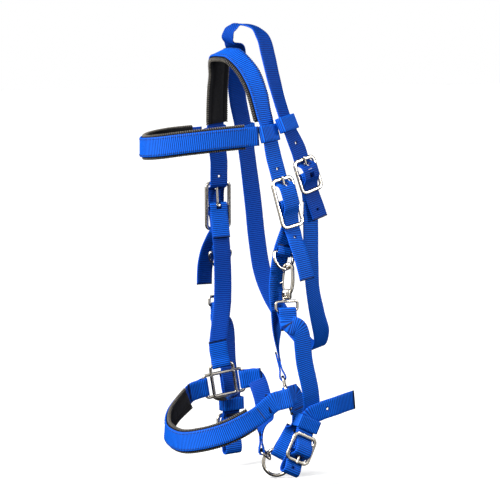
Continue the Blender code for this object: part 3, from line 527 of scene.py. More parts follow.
def rib_tree():
    """Raises the woven ribs: a rounded ridge across the strap in every pitch of its run."""
    tree, inputs = tree_with("webbing_ribs", [
        ("Rib pitch", "Float"), ("Rib height", "Float"), ("Material", "Material")])
    ridge = node(tree, "GeometryNodeInputNamedAttribute", {"Name": "run"}, 0, data_type="FLOAT")
    rise = node(tree, "GeometryNodeInputNamedAttribute", {"Name": "rise"}, 0,
                data_type="FLOAT_VECTOR")
    for operation, by in (("DIVIDE", inputs["Rib pitch"]), ("MULTIPLY", math.pi), ("SINE", 0.0),
                          ("ABSOLUTE", 0.0), ("POWER", 0.6)):
        ridge = node(tree, "ShaderNodeMath", {0: ridge, 1: by}, 0, operation=operation)
    lift = node(tree, "ShaderNodeMath", {0: ridge, 1: 0.8}, 0, operation="SUBTRACT")
    lift = node(tree, "ShaderNodeMath", {0: lift, 1: inputs["Rib height"]}, 0,
                operation="MULTIPLY")
    shift = node(tree, "ShaderNodeVectorMath", {0: rise, "Scale": lift}, 0, operation="SCALE")
    moved = node(tree, "GeometryNodeSetPosition",
                 {"Geometry": inputs["Geometry"], "Offset": shift}, 0)
    kept = node(tree, "GeometryNodeStoreNamedAttribute",
                {"Geometry": moved, "Name": "rib", "Value": ridge}, 0,
                data_type="FLOAT", domain="POINT")
    return close_tree(tree, kept, inputs["Material"])


def stitch_tree():
    """Lays one plump stitch of thread on every point, along dir, standing on out."""
    tree, inputs = tree_with("thread_stitches", [
        ("Stitch length", "Float"), ("Thread", "Float"), ("Material", "Material")])
    size = node(tree, "ShaderNodeCombineXYZ",
                {0: inputs["Stitch length"], 1: inputs["Thread"], 2: inputs["Thread"]})
    ball = node(tree, "GeometryNodeMeshUVSphere", {"Segments": 6, "Rings": 5, "Radius": 0.5})
    smooth = node(tree, "GeometryNodeSetShadeSmooth", {0: ball.outputs[0]})
    thread = node(tree, "GeometryNodeTransform",
                  {"Geometry": smooth.outputs[0], "Scale": size.outputs[0]})
    along = node(tree, "GeometryNodeInputNamedAttribute", {"Name": "dir"},
                 data_type="FLOAT_VECTOR")
    out = node(tree, "GeometryNodeInputNamedAttribute", {"Name": "out"},
               data_type="FLOAT_VECTOR")
    first = node(tree, "FunctionNodeAlignRotationToVector", {"Vector": along.outputs[0]},
                 axis="X")
    turned = node(tree, "FunctionNodeAlignRotationToVector",
                  {"Rotation": first.outputs[0], "Vector": out.outputs[0]},
                  axis="Z", pivot_axis="X")
    placed = node(tree, "GeometryNodeInstanceOnPoints",
                  {"Points": inputs["Geometry"], "Instance": thread.outputs[0],
                   "Rotation": turned.outputs[0]})
    return close_tree(tree, placed.outputs[0], inputs["Material"])


# ------------------------------------------------------------------ materials
def start_material(name, **constants):
    """An empty material with its Principled shader, whose constants sit on its own sockets."""
    mat = bpy.data.materials.new(name)
    mat.use_nodes = True
    shader = mat.node_tree.nodes["Principled BSDF"]
    for key, value in constants.items():
        shader.inputs[key.replace("_", " ")].default_value = value
    return mat, mat.node_tree, shader


def noise(tree, scale, detail=3.0, low=0.0, high=1.0, start=0.0, end=1.0):
    """Noise over the piece, scale cells to the metre; what it has between start and end is
    spread from low to high."""
    place = node(tree, "ShaderNodeTexCoord", None, "Object")
    cloud = node(tree, "ShaderNodeTexNoise", {"Vector": place, "Scale": scale, "Detail": detail},
                 0)
    return node(tree, "ShaderNodeMapRange", {0: cloud, 1: start, 2: end, 3: low, 4: high}, 0)


def wave(tree, name, pitch):
    """Follows a length in millimetres, kept on the mesh: from 0 to 1 and back in one pitch."""
    length = node(tree, "ShaderNodeAttribute", None, "Fac", attribute_name=name)
    turns = node(tree, "ShaderNodeMath", {0: length, 1: 2 * math.pi / pitch}, 0,
                 operation="MULTIPLY")
    swing = node(tree, "ShaderNodeMath", {0: turns}, 0, operation="SINE")
    return node(tree, "ShaderNodeMapRange", {0: swing, 1: -1.0}, 0)


def layered(tree, colour, layers):
    """A colour with the colour of each layer mixed over it, by the layer's share."""
    for share, over in layers:
        colour = node(tree, "ShaderNodeMix", {0: share, 6: colour, 7: over}, 2,
                      data_type="RGBA")
    return colour


def dress(tree, shader, colour, rough, height, strength, distance):
    """Joins colour, roughness and a fine relief to the shader; distance is in metres."""
    relief = node(tree, "ShaderNodeBump",
                  {"Strength": strength, "Distance": distance, "Height": height}, 0)
    for key, value in (("Base Color", colour), ("Roughness", rough), ("Normal", relief)):
        tree.links.new(value, shader.inputs[key])


def nylon_webbing(colour, groove):
    """Dyed nylon webbing, woven with ribs: saturated and slightly glossy on the ribs, with painted
    shade in the grooves and between the single yarns of 0.9 mm running along it, painted shade
    on the reverse, and melted, darker cut ends."""
    mat, tree, shader = start_material(
        "dyed_nylon_webbing_woven", IOR=1.48, Sheen_Weight=0.06, Sheen_Roughness=0.4,
        Sheen_Tint=(0.05, 0.4, 1.0, 1.0), Specular_IOR_Level=0.16)
    rib, cross, reverse, seal, burn = [
        node(tree, "ShaderNodeAttribute", None, "Fac", attribute_name=name)
        for name in ("rib", "cross", "reverse", "seal", "burn")]
    # The rib colour is mixed in on the rib tops; the groove colour left between them is painted
    # shade.
    ridge = node(tree, "ShaderNodeMapRange", {0: rib, 1: 0.45, 2: 0.95}, 0)
    yarn = wave(tree, "cross", 0.9)
    # Painted shade in the gaps between single yarns, mixed towards the groove colour.
    yarn_gap_shade = node(tree, "ShaderNodeMath", {0: yarn, 1: 0.16}, 0, operation="MULTIPLY")
    # Painted shade on the reverse: the strap's inner side is drawn darker for the shade that falls
    # on it.
    inside = node(tree, "ShaderNodeMath", {0: reverse, 1: 0.62}, 0, operation="MULTIPLY")
    edge = node(tree, "ShaderNodeMath", {0: cross}, 0, operation="ABSOLUTE")
    edge = node(tree, "ShaderNodeMapRange", {0: edge, 1: 11.6, 2: 12.4, 4: 0.35}, 0)
    melted = node(tree, "ShaderNodeMath", {0: seal, 1: burn}, 0, operation="MAXIMUM")
    dull = tuple(c * 0.72 for c in colour[:3]) + (1.0,)
    surface_colour = layered(tree, groove, [
        (ridge, colour),
        (noise(tree, 24.0, 3.0, 0.0, 0.30, 0.35, 0.75), dull),
        (yarn_gap_shade, groove),
        (noise(tree, 900.0, 2.0, 0.0, 0.22, 0.45, 0.75), srgb("#2E74F5")),
        # painted shade on the reverse
        (inside, srgb("#002A86")),
        (edge, srgb("#1458E0")),
        (melted, srgb("#060C26"))])
    gloss = node(tree, "ShaderNodeMath", {0: melted, 1: 0.25}, 0, operation="MULTIPLY")
    rough = node(tree, "ShaderNodeMath", {0: noise(tree, 300.0, 3.0, 0.46, 0.66), 1: gloss}, 0,
                 operation="SUBTRACT")
    yarns = node(tree, "ShaderNodeMath", {0: yarn, 1: 0.6}, 0, operation="MULTIPLY")
    height = node(tree, "ShaderNodeMath", {0: yarns, 1: noise(tree, 1600.0, 3.0, 0.0, 0.5)}, 0,
                  operation="ADD")
    dress(tree, shader, surface_colour, rough, height, 0.45, 0.00012)
    return mat


def polyester_knit(colour):
    """Black polyester knit over foam: dull, soft, with small loops that catch a little light.
    The loops are 1.5 mm, about twice the real ones, so that they show."""
    mat, tree, shader = start_material(
        "black_polyester_knit", IOR=1.5, Sheen_Weight=0.08, Sheen_Roughness=0.6,
        Sheen_Tint=(0.6, 0.6, 0.62, 1.0), Specular_IOR_Level=0.2)
    loops = node(tree, "ShaderNodeMath", {0: wave(tree, "run", 1.5), 1: wave(tree, "cross", 1.5)},
                 0, operation="MULTIPLY")
    lit = node(tree, "ShaderNodeMath", {0: loops, 1: 0.5}, 0, operation="MULTIPLY")
    surface_colour = layered(tree, colour, [
        (lit, srgb("#2E2D31")),
        (noise(tree, 420.0, 3.0, 0.0, 0.3, 0.55, 0.8), srgb("#3C3B3E"))])
    dress(tree, shader, surface_colour, noise(tree, 60.0, 3.0, 0.78, 0.95), loops, 0.6, 0.0003)
    return mat


def polyester_thread(name, colour, light):
    """Twisted polyester thread: a soft line of fibres with a lighter fleck on each turn."""
    mat, tree, shader = start_material(name, IOR=1.5, Sheen_Weight=0.2)
    surface_colour = layered(tree, colour, [(noise(tree, 700.0, 3.0, 0.0, 0.8, 0.35, 0.7), light)])
    dress(tree, shader, surface_colour, noise(tree, 500.0, 3.0, 0.5, 0.8), noise(tree, 2500.0), 0.5,
          0.00015)
    return mat


def nickel_plate(colour, roughness):
    """Bright nickel plate on die-cast zinc: a warm mirror, a little wavy from the casting, with
    fine rub marks and slightly duller patches."""
    mat, tree, shader = start_material("bright_nickel_plate", Metallic=1.0)
    tint = layered(tree, colour, [
        (noise(tree, 90.0, 3.0, 0.0, 0.6, 0.35, 0.75), srgb("#BDB4A4"))])
    rub = noise(tree, 800.0, 5.0, roughness * 0.6, roughness * 1.7, 0.3, 0.75)
    dress(tree, shader, tint, rub, noise(tree, 160.0, 2.0), 0.25, 0.0004)
    return mat


# ------------------------------------------------------------------ webbing
def strap_profile(width, thick):
    """Points round a strap's section, and how far and which way each follows the ribs."""
    a, b = width / 2, thick / 2
    xs = np.linspace(-a + 0.7, a - 0.7, 7)
    top = [(x, b, 0.0, 1.0) for x in xs]
    side = [(a - 0.16, 0.62 * b, 0.35, 0.35), (a, 0.0, 0.4, 0.0),
            (a - 0.16, -0.62 * b, 0.35, -0.35)]
    bottom = [(x, -b, 0.0, -1.0) for x in reversed(xs)]
    other = [(-x, -y, -rx, -ry) for x, y, rx, ry in side]
    return np.array(top + side + bottom + other)


def webbing(cad, p, n, width=STRAP_WIDTH, thick=STRAP_THICK, closed=False, holes=(), cutters=(),
            seal_mm=1.1):
    """A length of ribbed webbing along a route. holes are (point, axis, long, along, diameter);
    cutters are closed shapes to cut away; seal_mm is how far in its cut ends are melted dark."""
    look = bpy.context.scene.halter_webbing
    pitch = look.rib_pitch / MM
    p, n = even(np.asarray(p), np.asarray(n), pitch / RIB_SAMPLES, closed)
    w, m = sections(p, n, closed)
    outline = strap_profile(width, thick)
    verts = p[:, None] + w[:, None] * outline[None, :, :1] + m[:, None] * outline[None, :, 1:2]
    rise = w[:, None] * outline[None, :, 2:3] + m[:, None] * outline[None, :, 3:4]
    count, size = len(p), len(outline)
    run = np.repeat(np.arange(count) * pitch / RIB_SAMPLES, size)
    flat = verts.reshape(-1, 3)
    seal = np.zeros(len(flat))
    if not closed:
        left = np.minimum(run, run[-1] - run)
        seal = np.clip(1 - (left - seal_mm) / 1.5, 0, 1)
    burn = np.zeros(len(flat))
    tools = list(cutters)
    for point, axis, long, along, dia in holes:
        tools.append(punch_tool(point, axis, long, along, dia))
        axis = unit(axis)
        away = flat - point
        deep = away @ axis
        away = away - deep[:, None] * axis
        ring = np.linalg.norm(away, axis=1) - long / 2
        near = np.clip(1 - (ring - dia / 2) / 1.1, 0, 1)
        burn = np.maximum(burn, near * (np.abs(deep) < 4))
    faces = skin(verts, closed)[1]
    mat = bpy.data.materials["dyed_nylon_webbing_woven"]
    obj = new_object(cad + "_webbing", flat, faces, mat, {
        "run": run, "cross": np.tile(outline[:, 0], count), "rise": rise.reshape(-1, 3),
        "seal": seal, "burn": burn,
        # reverse marks the strap's underside, which the webbing material darkens as painted shade
        "reverse": np.tile(np.clip(-outline[:, 1] / thick, 0, 0.5) * 2, count)})
    grow(obj, bpy.data.node_groups["webbing_ribs"], rib_pitch=pitch,
         rib_height=look.rib_height, material=mat)
    if tools:
        join(obj, tools, "DIFFERENCE")
    return finish(obj, cad)


def punch_tool(point, axis, long, along, dia, depth=13.0):
    """The cutter of a round or long hole."""
    axis = unit(axis)
    along = unit(np.cross(axis, vec(0.2, 0.3, 0.9))) if along is None else unit(along)
    along = unit(along - axis * np.dot(along, axis))
    side = np.cross(axis, along)
    outline = []
    for k in range(20):
        angle = 2 * math.pi * (k + 0.5) / 20
        shift = long / 2 if math.cos(angle) > 0 else -long / 2
        outline.append(along * (dia / 2 * math.cos(angle) + shift)
                       + side * dia / 2 * math.sin(angle))
    rings = [[point + axis * s * depth / 2 + o for o in outline] for s in (-1, 1)]
    verts, faces = skin(rings, False)
    return new_object("punch", verts, faces, nickel())


def block_tool(frame_, low, high):
    """A box between two corners in a frame's axes."""
    corners = []
    for n in (low[2], high[2]):
        for v in (low[1], high[1]):
            for u in (low[0], high[0]):
                corners.append(frame_.point(u, v, n))
    faces = [(0, 2, 3, 1), (4, 5, 7, 6), (0, 1, 5, 4), (2, 6, 7, 3), (0, 4, 6, 2), (1, 3, 7, 5)]
    return new_object("block", corners, faces, nickel(), None, False)


def tongue_slot(frame_, sign):
    """The slot in a folded strap that lets the tongue turn on its bar."""
    top = BAR_R + STRAP_THICK + 3.5
    low, high = ((-3.7, -4.4), (3.7, top)) if sign > 0 else ((-3.7, -top), (3.7, 4.4))
    return block_tool(frame_, (*low, -9.0), (*high, 9.0))


def tongue_hole(frame_, half, sign):
    return (frame_.point(0, sign * (half - 7.0), 3.0), frame_.turn(0, sign * 0.86, 0.51), 5.5,
            frame_.turn(0, -sign * 0.51, 0.86), HOLE_DIA)


# ------------------------------------------------------------------ hardware
def nickel():
    return bpy.data.materials["bright_nickel_plate"]


def tube(path, flat_dir, wide, deep, closed=True, sides=16, square=1.0, taper=0.0, step=0.0):
    """A wire or bar of oval section; deep is its size along flat_dir. square below 1 flattens
    its faces; taper rounds off its ends; step spaces new stations along a smooth curve."""
    p = np.array(path, float)
    if step:
        p = spline(p, [vec(0, 0, 1)] * len(p), step)[0]
    flat = np.array([flat_dir] * len(p), float)
    w, n = sections(p, flat, closed)
    s = np.concatenate([[0], np.cumsum(np.linalg.norm(np.diff(p, axis=0), axis=1))])
    rings = []
    for i in range(len(p)):
        edge = min(s[i], s[-1] - s[i]) / taper if taper and not closed else 1.0
        size = math.sqrt(max(0.12, 1 - (1 - min(edge, 1.0)) ** 2))
        ring = []
        for k in range(sides):
            angle = 2 * math.pi * (k + 0.5) / sides
            c, d = math.cos(angle), math.sin(angle)
            c = math.copysign(abs(c) ** square, c)
            d = math.copysign(abs(d) ** square, d)
            ring.append(p[i] + (w[i] * wide / 2 * c + n[i] * deep / 2 * d) * size)
        rings.append(ring)
    verts, faces = skin(rings, closed)
    return new_object("tube", verts, faces, nickel())


def rod(start, end, radius, sides=24):
    """A straight round bar between two points."""
    side = unit(np.cross(unit(end - start), vec(0.31, 0.52, 0.79)))
    other = np.cross(unit(end - start), side)
    angles = [2 * math.pi * k / sides for k in range(sides)]
    rings = [[point + (side * math.cos(a) + other * math.sin(a)) * radius for a in angles]
             for point in (start, end)]
    verts, faces = skin(rings, False)
    return new_object("rod", verts, faces, nickel())


def metal(cad, obj, more=(), cuts=(), bevel=0.25):
    """Fuses a casting's shapes, cuts it, softens its edges and hangs it on its body."""
    if more:
        join(obj, list(more))
    if cuts:
        join(obj, list(cuts), "DIFFERENCE")
    if bevel:
        mod = obj.modifiers.new("soft_edges", "BEVEL")
        mod.width = bevel * MM
        mod.segments = 2
        mod.limit_method = "ANGLE"
        mod.angle_limit = math.radians(38)
        mod.use_clamp_overlap = True
        applied(obj)
    obj.data.shade_smooth()
    obj.data.set_sharp_from_angle(angle=math.radians(42))
    obj.name = obj.data.name = cad + "_metal"
    return finish(obj, cad)


def rounded_rect(half_u, half_v, corner, count=8):
    """Corner points of a rounded rectangle, going round once."""
    points = []
    for su, sv, start in ((1, 1, 0), (-1, 1, 90), (-1, -1, 180), (1, -1, 270)):
        for k in range(count + 1):
            angle = math.radians(start + 90 * k / count)
            points.append((su * (half_u - corner) + corner * math.cos(angle),
                           sv * (half_v - corner) + corner * math.sin(angle)))
    return points


def buckle(side, frame_, half, tongue_sign, slack=1.5):
    """A three-bar buckle frame, and its tongue on the centre bar. The tongue rests on the bar
    at +v (tongue_sign +1) or at -v."""
    inner = STRAP_WIDTH / 2 + slack
    path = rounded_rect(inner + BUCKLE_RIM / 2, half, 6.0)
    rim = tube([frame_.point(u, v, 0) for u, v in path], frame_.n, BUCKLE_RIM, BUCKLE_DEEP,
               True, 20, 0.8)
    reach = inner + BUCKLE_RIM / 2
    bar = rod(frame_.point(-reach, 0, 0), frame_.point(reach, 0, 0), BAR_R)
    metal(side + "_frame", rim, [bar], (), 0)
    bore = BAR_R + 0.25
    wall = bore + 1.5
    rings = []
    for r, u in ((bore, -2.6), (wall - 0.3, -2.6), (wall, -2.2), (wall, 2.2), (wall - 0.3, 2.6),
                 (bore, 2.6)):
        angles = [2 * math.pi * (k + 0.5) / 28 for k in range(28)]
        rings.append([frame_.point(u, r * math.cos(a), r * math.sin(a)) for a in angles])
    verts, faces = skin(rings, True)
    collar = new_object("collar", verts, faces, nickel())
    rest = BUCKLE_DEEP / 2 + 0.35 + 1.3
    pin = tube([frame_.point(0, tongue_sign * (bore + 0.55), 0.3),
                frame_.point(0, tongue_sign * 0.5 * half, rest * 0.55),
                frame_.point(0, tongue_sign * (half + BUCKLE_RIM / 2 + 1.0), rest + 0.1)],
               frame_.n, 3.2, 2.6, False, 16, 0.9, 2.0, 0.7)
    metal(side + "_tongue", collar, [pin], (), 0)


def square(cad, frame_):
    """A cast halter square: a middle window, a slot on three sides and a thick lower edge."""
    h, r, c = SQUARE_HALF, SQUARE_REACH, 3.0
    core = tube([frame_.point(u, v, 0) for u, v in rounded_rect(h, h, c)], frame_.n,
                SQUARE_BAR, SQUARE_DEEP, True, 16, 0.75)
    more = []
    for swap, sign, size in ((1, 1, 0.94), (0, -1, 0.90), (0, 1, 0.92)):
        s = h + 3.0 * (0.94 - size)
        legs = [(-s, h - 1.3), (-s, r - 4), (-s + 0.4, r - 2.2), (-s + 1.2, r - 1.2)]
        legs += [(-s + 2.2, r - 0.4), (-s + 4, r)]
        legs += [(-u, v) for u, v in reversed(legs)]
        points = []
        for along, out in legs:
            u, v = (along, out * sign) if swap else (out * sign, along)
            points.append(frame_.point(u, v, 0))
        more.append(tube(points, frame_.n, SQUARE_BAR * size, SQUARE_DEEP * (size - 0.04),
                         False, 14, 0.75))
    outline = []
    for k in range(25):
        angle = math.pi * (1.02 + 0.96 * k / 24)
        outline.append(((h + 3.2) * math.cos(angle), -h + 0.5 + 9.0 * math.sin(angle)))
    rings = []
    for n in (-SQUARE_DEEP * 0.41, SQUARE_DEEP * 0.41):
        rings.append([frame_.point(u, v, n) for u, v in outline])
    verts, faces = skin(rings, False)
    more.append(new_object("foot", verts, faces, nickel(), None, False))
    return metal(cad, core, more)


def dee(cad, frame_, half_u, depth):
    """A dee: straight bar along u at the origin, round side hanging down -v."""
    c = 3.0
    path = [(-half_u + c, 0), (half_u - c, 0)]
    path += [(half_u - c + c * math.sin(a), -c + c * math.cos(a)) for a in (0.4, 0.8, 1.2)]
    for k in range(33):
        angle = math.pi * k / 32
        path.append((half_u * math.cos(angle), -c - 1 - (depth - c - 1) * math.sin(angle)))
    path += [(-u, v) for u, v in reversed(path[2:5])]
    return metal(cad, tube([frame_.point(u, v, 0) for u, v in path], frame_.n, DEE_WIRE,
                           DEE_WIRE), (), (), 0)


def snap(side, hook, eye_frame):
    """A spring snap: hook body, sprung gate and swivelling strap eye. hook's origin is the
    bottom middle of its barrel."""
    path = [(4.6, 8.0), (7.2, 14), (8.4, 22), (8.4, 32), (8.2, 38)]
    for k in range(1, 8):
        angle = math.pi * k / 8
        path.append((2.2 + 6.2 * math.cos(angle), 39.5 + 6.2 * math.sin(angle)))
    path += [(-4.0, 38.5), (-3.9, 35.8)]
    body = tube([hook.point(u, v, 0) for u, v in path], hook.n, 4.4, 5.2, False, 18, 0.85, 1.2,
                0.9)
    rings = []
    for v, wide, deep in ((0, 4.6, 3.9), (0.8, 5.7, 4.7), (2.4, 6.2, 5.0), (9.4, 6.2, 5.0),
                          (11.6, 5.9, 4.6), (13.0, 4.9, 3.6)):
        ring = []
        for k in range(28):
            angle = 2 * math.pi * (k + 0.5) / 28
            c = math.copysign(abs(math.cos(angle)) ** 0.6, math.cos(angle))
            d = math.copysign(abs(math.sin(angle)) ** 0.6, math.sin(angle))
            ring.append(hook.point(wide * c, v, deep * d))
        rings.append(ring)
    verts, faces = skin(rings, False)
    barrel = new_object("barrel", verts, faces, nickel())
    pocket = block_tool(hook, (-4.4, 3.2, -8.0), (4.4, 8.6, 8.0))
    bore = rod(hook.point(0, -2, 0), hook.point(0, 5, 0), 2.3)
    slit = block_tool(hook, (-8.0, 10.4, -1.7), (-1.2, 15.0, 1.7))
    metal(side + "_snap_body", body, [barrel], [pocket, bore, slit], 0.2)
    gate_path = [(-3.6, 11.6), (-4.6, 16), (-4.9, 24), (-4.4, 30), (-3.9, 34.9)]
    gate = tube([hook.point(u, v, 0) for u, v in gate_path], hook.n, 2.6, 2.6, False, 16, 1.0,
                1.0, 0.9)
    stud = rod(hook.point(-4.8, 22, 0), hook.point(-9.2, 20.5, 0), 1.5, 20)
    metal(side + "_snap_gate", gate, [stud])
    half = STRAP_WIDTH / 2 + 1.3 + EYE_WIRE / 2
    points = [eye_frame.point(u, v - EYE_DROP / 2, 0)
              for u, v in rounded_rect(half, EYE_DROP / 2, 3.2)]
    eye = tube(points, eye_frame.n, EYE_WIRE, EYE_WIRE)
    stem = rod(eye_frame.point(0, 0, 0), hook.point(0, 5.2, 0), 1.9)
    head = rod(hook.point(0, 4.4, 0), hook.point(0, 7.4, 0), 3.5)
    metal(side + "_snap_eye", eye, [stem, head])


# ------------------------------------------------------------------ where the hardware sits
NEAR_CROWN = Frame(at(90, 39.6, -185.5), (-0.154, -0.20, 0.969), (1.0, 0.16, 0.0))
FAR_CROWN = Frame(at(-90, 38, -200), (0.10, -0.06, 0.99), (-1.0, 0.10, 0.0))
THROAT = Frame(at(86, 72.7, -151), (-0.10, -0.28, 0.95), (1.0, 0.18, 0.0))
NEAR_SQUARE = Frame(at(74, 50, -440.5), (-0.20, -0.16, 0.96), (0.50, 0.866, 0.0))
FAR_SQUARE = Frame(at(-76, 39.4, -439.5), (0.05, -0.2, 0.97), (-0.96, 0.30, 0.0))
NEAR_HANGER = Frame(at(108, 50, -503), (0.02, 0.42, 0.90), (1.0, 0.0, 0.0))
FAR_HANGER = Frame(at(-103, 62.5, -504), (0.0, -0.05, 1.0), (-1.0, 0.0, 0.0))
RING = Frame(at(10, 71, -537.5), (0, 0, 1), (0.866, -0.5, 0.0))
STAPLE_R = SQUARE_BAR * 0.94 / 2


# ------------------------------------------------------------------ routes
def crown_route():
    tilt = math.radians(POLL_TILT)
    lean = vec(0, -math.sin(tilt), math.cos(tilt))
    top = lean * (PAD_THICK + PAD_GAP + HALF_T)
    route = Route()
    for point in (at(-110, 28, -308), at(-108.5, 28.5, -282), at(-104, 31, -262),
                  at(-98.5, 34, -250)):
        route.add(point, (-1.0, -0.12, -0.3))
    route.add(at(-93.5, 37, -242), (-1.0, 0.0, -0.3))
    route.add_all(reversed(weave(FAR_CROWN, CROWN_BUCKLE_HALF, 1.0, [(30, -0.2), (14, 0.0)],
                                 [(5, 0.3)])))
    for point, normal in (
        (at(-76, 27, -104), (-0.97, 0.04, 0.2)),
        (at(-68, 22, -74), (-0.97, 0.0, 0.28)),
        (at(-56, 16, -42), (-0.9, -0.08, 0.46)),
        (at(-40, 9, -15), (-0.62, -0.25, 0.78)),
        (at(-22, 2, -2.2) + top, (-0.25, -0.38, 0.9)),
        (vec(-6, 0, 0) + top, lean),
        (vec(6, 0, 0) + top, lean),
        (at(22, 2, -2.2) + top, (0.25, -0.38, 0.9)),
        (at(42, 9, -15), (0.62, -0.25, 0.78)),
        (at(57, 15, -42), (0.9, -0.02, 0.46)),
        (at(66, 18, -70), (0.95, 0.14, 0.3)),
        (at(73, 22, -97), (0.95, 0.26, 0.2)),
    ):
        route.add(point, normal)
    route.add_all(weave(NEAR_CROWN, CROWN_BUCKLE_HALF, 1.0, [(30, -0.2), (14, 0.0)], [(9, 0.0)]))
    for point in (at(98.5, 47.5, -236), at(104, 50, -250), at(109, 53, -267), at(112, 56, -284)):
        route.add(point, (0.97, 0.18, 0.28))
    return route


def cheek_route(frame_, keys, end_frame):
    """Folded on the buckle's centre bar at the top and on the square's top bar below."""
    lean = lean_of(CROWN_BUCKLE_HALF)
    away = frame_.turn(0, -math.cos(lean), -math.sin(lean))
    start = fold(frame_.o, away, frame_.turn(0, -math.sin(lean), math.cos(lean)), BAR_R, 26.0,
                 44.0)
    route = Route().add_all(reversed(start)).add_all(keys)
    bar = end_frame.point(0, SQUARE_REACH, 0)
    return route.add_all(fold(bar, end_frame.v, end_frame.n, SQUARE_BAR * 0.94 / 2, 24.0, 34.0,
                              STRAP_THICK))


def near_cheek():
    return cheek_route(NEAR_CROWN, [
        (at(88.5, 31, -250), (0.98, 0.12, 0.1)),
        (at(86, 25.5, -290), (0.97, 0.2, 0.0)),
        (at(82, 29, -335), (0.9, 0.42, 0.0)),
    ], NEAR_SQUARE)


def far_cheek():
    return cheek_route(FAR_CROWN, [
        (at(-85, 41.5, -262), (-1.0, 0.08, 0.0)),
        (at(-86, 43, -326), (-1.0, 0.16, 0.0)),
    ], FAR_SQUARE)


def brow_route():
    brow = Route()
    for degrees, drop in ((0, 0), (25, 4), (50, 9), (70, 13), (90, 15), (110, 15), (130, 12),
                          (155, 8), (180, 5)):
        angle = math.radians(degrees)
        across = 75.0 + 1.0 * math.cos(angle)
        brow.add(at(across * math.cos(angle), 5 - 125 * math.sin(angle), -100 - drop),
                 (math.cos(angle), -0.62 * math.sin(angle), 0))
    return brow


def throat_route():
    route = Route()
    away = THROAT.turn(0, -math.cos(math.radians(17)), -math.sin(math.radians(17)))
    start = fold(THROAT.o, away, THROAT.turn(0, -0.29, 0.957), BAR_R, 24.0, 34.0)
    route.add_all(reversed(start))
    for point, normal in (
        (at(86, 77, -222), (1.0, 0.15, 0.0)),
        (at(86, 78, -268), (1.0, 0.2, 0.0)),
        (at(82, 83, -302), (0.97, 0.3, -0.1)),
        (at(72, 96, -336), (0.85, 0.3, -0.4)),
        (at(58, 111, -366), (0.6, 0.3, -0.75)),
        (at(40, 115, -383), (0.2, 0.25, -0.95)),
        (at(20, 111, -379), (-0.3, 0.2, -0.93)),
        (at(0, 105, -364), (-0.6, 0.2, -0.75)),
        (at(-24, 100, -345), (-0.75, 0.2, -0.6)),
        (at(-46, 95, -320), (-0.85, 0.2, -0.45)),
        (at(-62, 91, -290), (-0.95, 0.2, -0.25)),
        (at(-71, 88, -248), (-1.0, 0.15, -0.1)),
        (at(-75, 84, -196), (-1.0, 0.1, 0.0)),
        (at(-76, 77, -143), (-1.0, 0.0, 0.0)),
        (at(-74, 68, -94), (-0.98, 0.0, 0.15)),
        (at(-64, 54, -56), (-0.92, 0.0, 0.35)),
        (at(-49, 43, -22), (-0.85, 0.1, 0.45)),
        (at(-32, 34, 4), (-0.55, 0.15, 0.85)),
    ):
        route.add(point, normal)
    for x, degrees in ((-14, 180), (-10, 135), (-4, 90), (2, 45), (8, 0)):
        angle = math.radians(degrees)
        out = vec(0, -math.sin(angle), math.cos(angle))
        hub = at(x, CURL_BACK, 0) + vec(0, 0, CURL_HIGH)
        route.add(hub + out * CURL_RADIUS, -out)
    for point, normal in (
        (at(24, 31, 37), (0.35, 0.25, 0.9)),
        (at(35, 36, 24), (0.75, 0.2, 0.6)),
        (at(43, 38, 3), (0.92, 0.22, 0.3)),
        (at(52, 40, -24), (0.94, 0.28, 0.25)),
        (at(62.5, 43.5, -55), (0.92, 0.36, 0.2)),
        (at(73, 49, -85), (0.90, 0.38, 0.15)),
    ):
        route.add(point, -vec(*normal))
    woven = weave(THROAT, THROAT_BUCKLE_HALF, 1.0, [(14, 0.0)], [(9, 0.2), (24, 1.4), (38, 2.0)])
    return route.add_all([(point, -normal) for point, normal in woven])


def about_bar(frame_, bar, toward, out_hint, main, tail):
    """A fold round an upright bar of a square."""
    return fold_on(bar, frame_.v, toward, out_hint, STAPLE_R, main, tail)


def nose_route():
    near_front = NEAR_SQUARE.point(-SQUARE_REACH, 0, 0)
    far_front = FAR_SQUARE.point(SQUARE_REACH, 0, 0)
    nose = Route().add_all(reversed(about_bar(NEAR_SQUARE, near_front, (-0.05, -0.98, -0.1),
                                              (1, 0, 0), 20.0, 30.0)))
    for point, normal in (
        (at(90, -6, -459.5), (0.96, -0.25, 0.0)),
        (at(77, -39, -478), (0.80, -0.6, 0.0)),
        (at(50, -62, -490), (0.45, -0.9, 0.0)),
        (at(10, -76, -497), (0.10, -1.0, 0.0)),
        (at(-27, -76, -490), (-0.30, -0.95, 0.0)),
        (at(-59, -51, -473), (-0.80, -0.6, 0.0)),
        (at(-77, -19, -456), (-0.97, -0.22, 0.0)),
    ):
        nose.add(point, normal)
    return nose.add_all(about_bar(FAR_SQUARE, far_front, (0.12, -0.97, -0.1), (-1, 0, 0),
                                  20.0, 28.0))


def around_ring(degrees, radius):
    angle = math.radians(degrees)
    return RING.turn(math.cos(angle), math.sin(angle), 0) * radius


LINK_TALL = 14.0
LINK_OUT = around_ring(142.0, 1.0)
LINK = Frame(RING.o + LINK_OUT * (RING_RADIUS - RING_WIRE / 2 - EYE_WIRE / 2 - 2.0
                                  + LINK_TALL / 2), LINK_OUT, np.cross(RING.n, LINK_OUT))


def far_chin_route():
    far_rear = FAR_SQUARE.point(-SQUARE_REACH, 0, 0)
    route = Route().add_all(reversed(about_bar(FAR_SQUARE, far_rear, (0.45, 0.85, -0.3),
                                               (-1, 0, 0), 16.0, 26.0)))
    route.add(at(-34, 78, -470), (-0.5, 0.1, -0.85))
    link_bar = LINK.point(0, LINK_TALL / 2, 0)
    return route.add_all(fold_on(link_bar, LINK.u, at(-24, 66, -492) - link_bar, (0, 0.3, -1),
                                 EYE_WIRE / 2, 16.0, 24.0))


